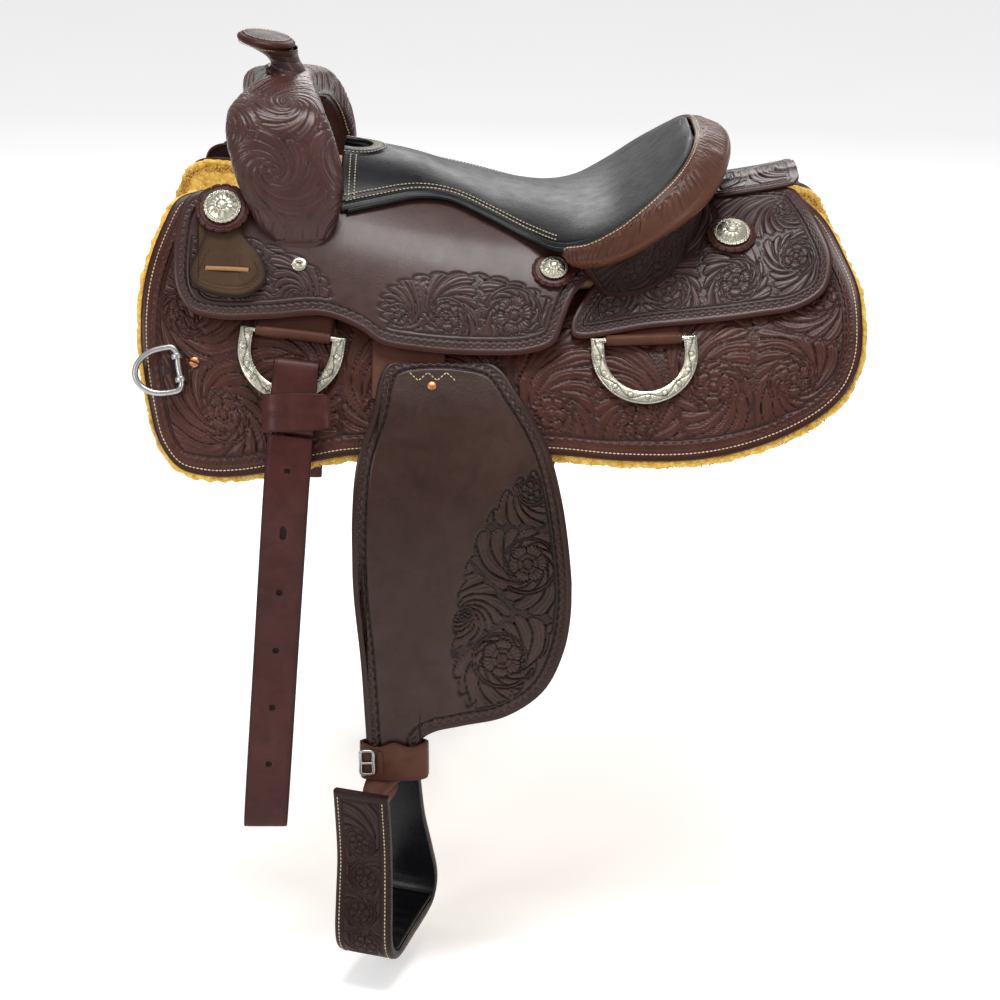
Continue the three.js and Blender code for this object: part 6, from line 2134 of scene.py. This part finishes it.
def stirrup_tread(axes):
    u, v = np.linspace(-1, 1, 70)[:, None], np.linspace(-1, 1, 110)[None]
    x, y = 27 * u, 47 * v
    ribs = 0.35 * np.cos(y / 2.4) * smooth(1 - np.abs(v), 0, 0.1) * smooth(1 - np.abs(u), 0, 0.15)
    z = -145.2 + 0.9 * (1 - v**2) + ribs + 0 * u
    top = np.stack(np.broadcast_arrays(x, y, z), -1)
    shapes = [moved(s, BOLT, axes) for s in thick_sheet(top, 3.6)]
    make_pair("stirrup_tread_leather", shapes, SEAT_LEATHER, "stirrup", ["stirrup_tread"])


def stirrup_bolt(axes):
    y = np.linspace(-43, 43, 30)
    shaft = tube(np.stack([0 * y, y, 0 * y], -1), STIRRUP["bolt_radius"], 24)
    make_pair("stirrup_bolt_steel", moved(shaft, BOLT, axes), STEEL, "stirrup", ["stirrup_bolt"])


# ---- tree bars ----


def tree_bars():
    """The wooden bars between the skirts and the seat."""
    u, v = np.linspace(0, 1, 120)[:, None], np.linspace(0, 1, 40)[None]
    x = mix(-258, 262, u) + 0 * v
    s = mix(mix(30, 52, smooth(-x / 240)), 127, v)
    under_jockey = rear_jockey_top(x, s) - JOCKEY_THICKNESS - 1
    top = mix(42, under_jockey, smooth((x - 10) / 45))
    share = np.abs(back(x, s, 30)[..., 1]) / curve_at(SEAT_EDGE, 0, 1, x)
    seat = seat_surface(x, np.clip(share, 0, 1))[..., 2]
    points = back(x, s, top)
    room = np.where((x > -130) & (x < 193), seat - 22, 500)
    points[..., 2] = np.minimum(points[..., 2], room)
    low = back(x, s, 21.8 + 0 * x)
    points[..., 2] = np.maximum(points[..., 2], low[..., 2] + 3)
    make_pair("tree_bar_wood", box_between(points, low), TIMBER, ROOT, ["tree_bar"])


# ---- studio ----

FLOOR_LEVEL = -0.73
CAMERA = {"place": (0, -2.631, 0.6327), "target": (0, 0, -0.325), "lens": 94.2, "sensor": 36}


def aim(thing, target):
    """Turn a camera or a light to face a target."""
    direction = Vector(target) - thing.location
    thing.rotation_euler = direction.to_track_quat("-Z", "Y").to_euler()


def soft_light(name, place, target, size, power, colour=(1, 1, 1)):
    """A rectangular area light that points at a target."""
    data = bpy.data.lights.new(name, "AREA")
    data.shape = "RECTANGLE"
    data.size, data.size_y = size
    data.energy = power
    data.color = colour
    light = bpy.data.objects.new(name, data)
    light.location = place
    bpy.context.scene.collection.objects.link(light)
    aim(light, target)


def studio():
    camera = bpy.data.objects.new("camera", bpy.data.cameras.new("camera"))
    camera.data.lens = CAMERA["lens"]
    camera.data.sensor_width = CAMERA["sensor"]
    camera.location = CAMERA["place"]
    aim(camera, CAMERA["target"])
    bpy.context.scene.collection.objects.link(camera)
    bpy.context.scene.camera = camera
    mesh = bpy.data.meshes.new("floor")
    half = 9
    corners = [(-half, -half, 0), (half, -half, 0), (half, half, 0), (-half, half, 0)]
    mesh.from_pydata([Vector(c) for c in corners], [], [(0, 1, 2, 3)])
    mesh.materials.append(plain("studio_floor", (0.93, 0.93, 0.93), (0.96, 0.96, 0.96), 0.8, 0.34))
    floor = bpy.data.objects.new("floor", mesh)
    floor.location.z = FLOOR_LEVEL
    bpy.context.scene.collection.objects.link(floor)
    floor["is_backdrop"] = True
    soft_light("overhead", (0, -0.4, 2.4), (0, 0, 0), (1.5, 0.9), 58)
    soft_light("front_left", (-2.3, -2.4, 1.2), (0, 0, -0.2), (0.9, 0.9), 26)
    soft_light("front_right", (2.4, -2.2, 0.9), (0, 0, -0.2), (0.8, 1.2), 15)
    soft_light("behind", (0.4, 2.8, 1.4), (0, 0, 0), (2.2, 1.2), 30)
    world = bpy.data.worlds.new("studio")
    world.use_nodes = True
    background = world.node_tree.nodes["Background"]
    background.inputs["Color"].default_value = (1, 1, 1, 1)
    background.inputs["Strength"].default_value = 0.5
    bpy.context.scene.world = world
    bpy.context.scene.view_settings.view_transform = "Standard"


# ---- assembly ----

fleece()
skirts()
jockeys()
rear_jockeys()
fenders()
seat_pad()
ground_seat()
swell()
horn()
cantle_binding()
cantle_back()
connector()
conchos()
small_heads()
keepers()
dees()
breast_dees()
straps()
upper_strap()
hanging_strap()
hobbles()
stirrups()
tree_bars()
studio()

sizes = [[list(map(float, corner)) for corner in bounds] for bounds in (CAD_BOX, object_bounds())]
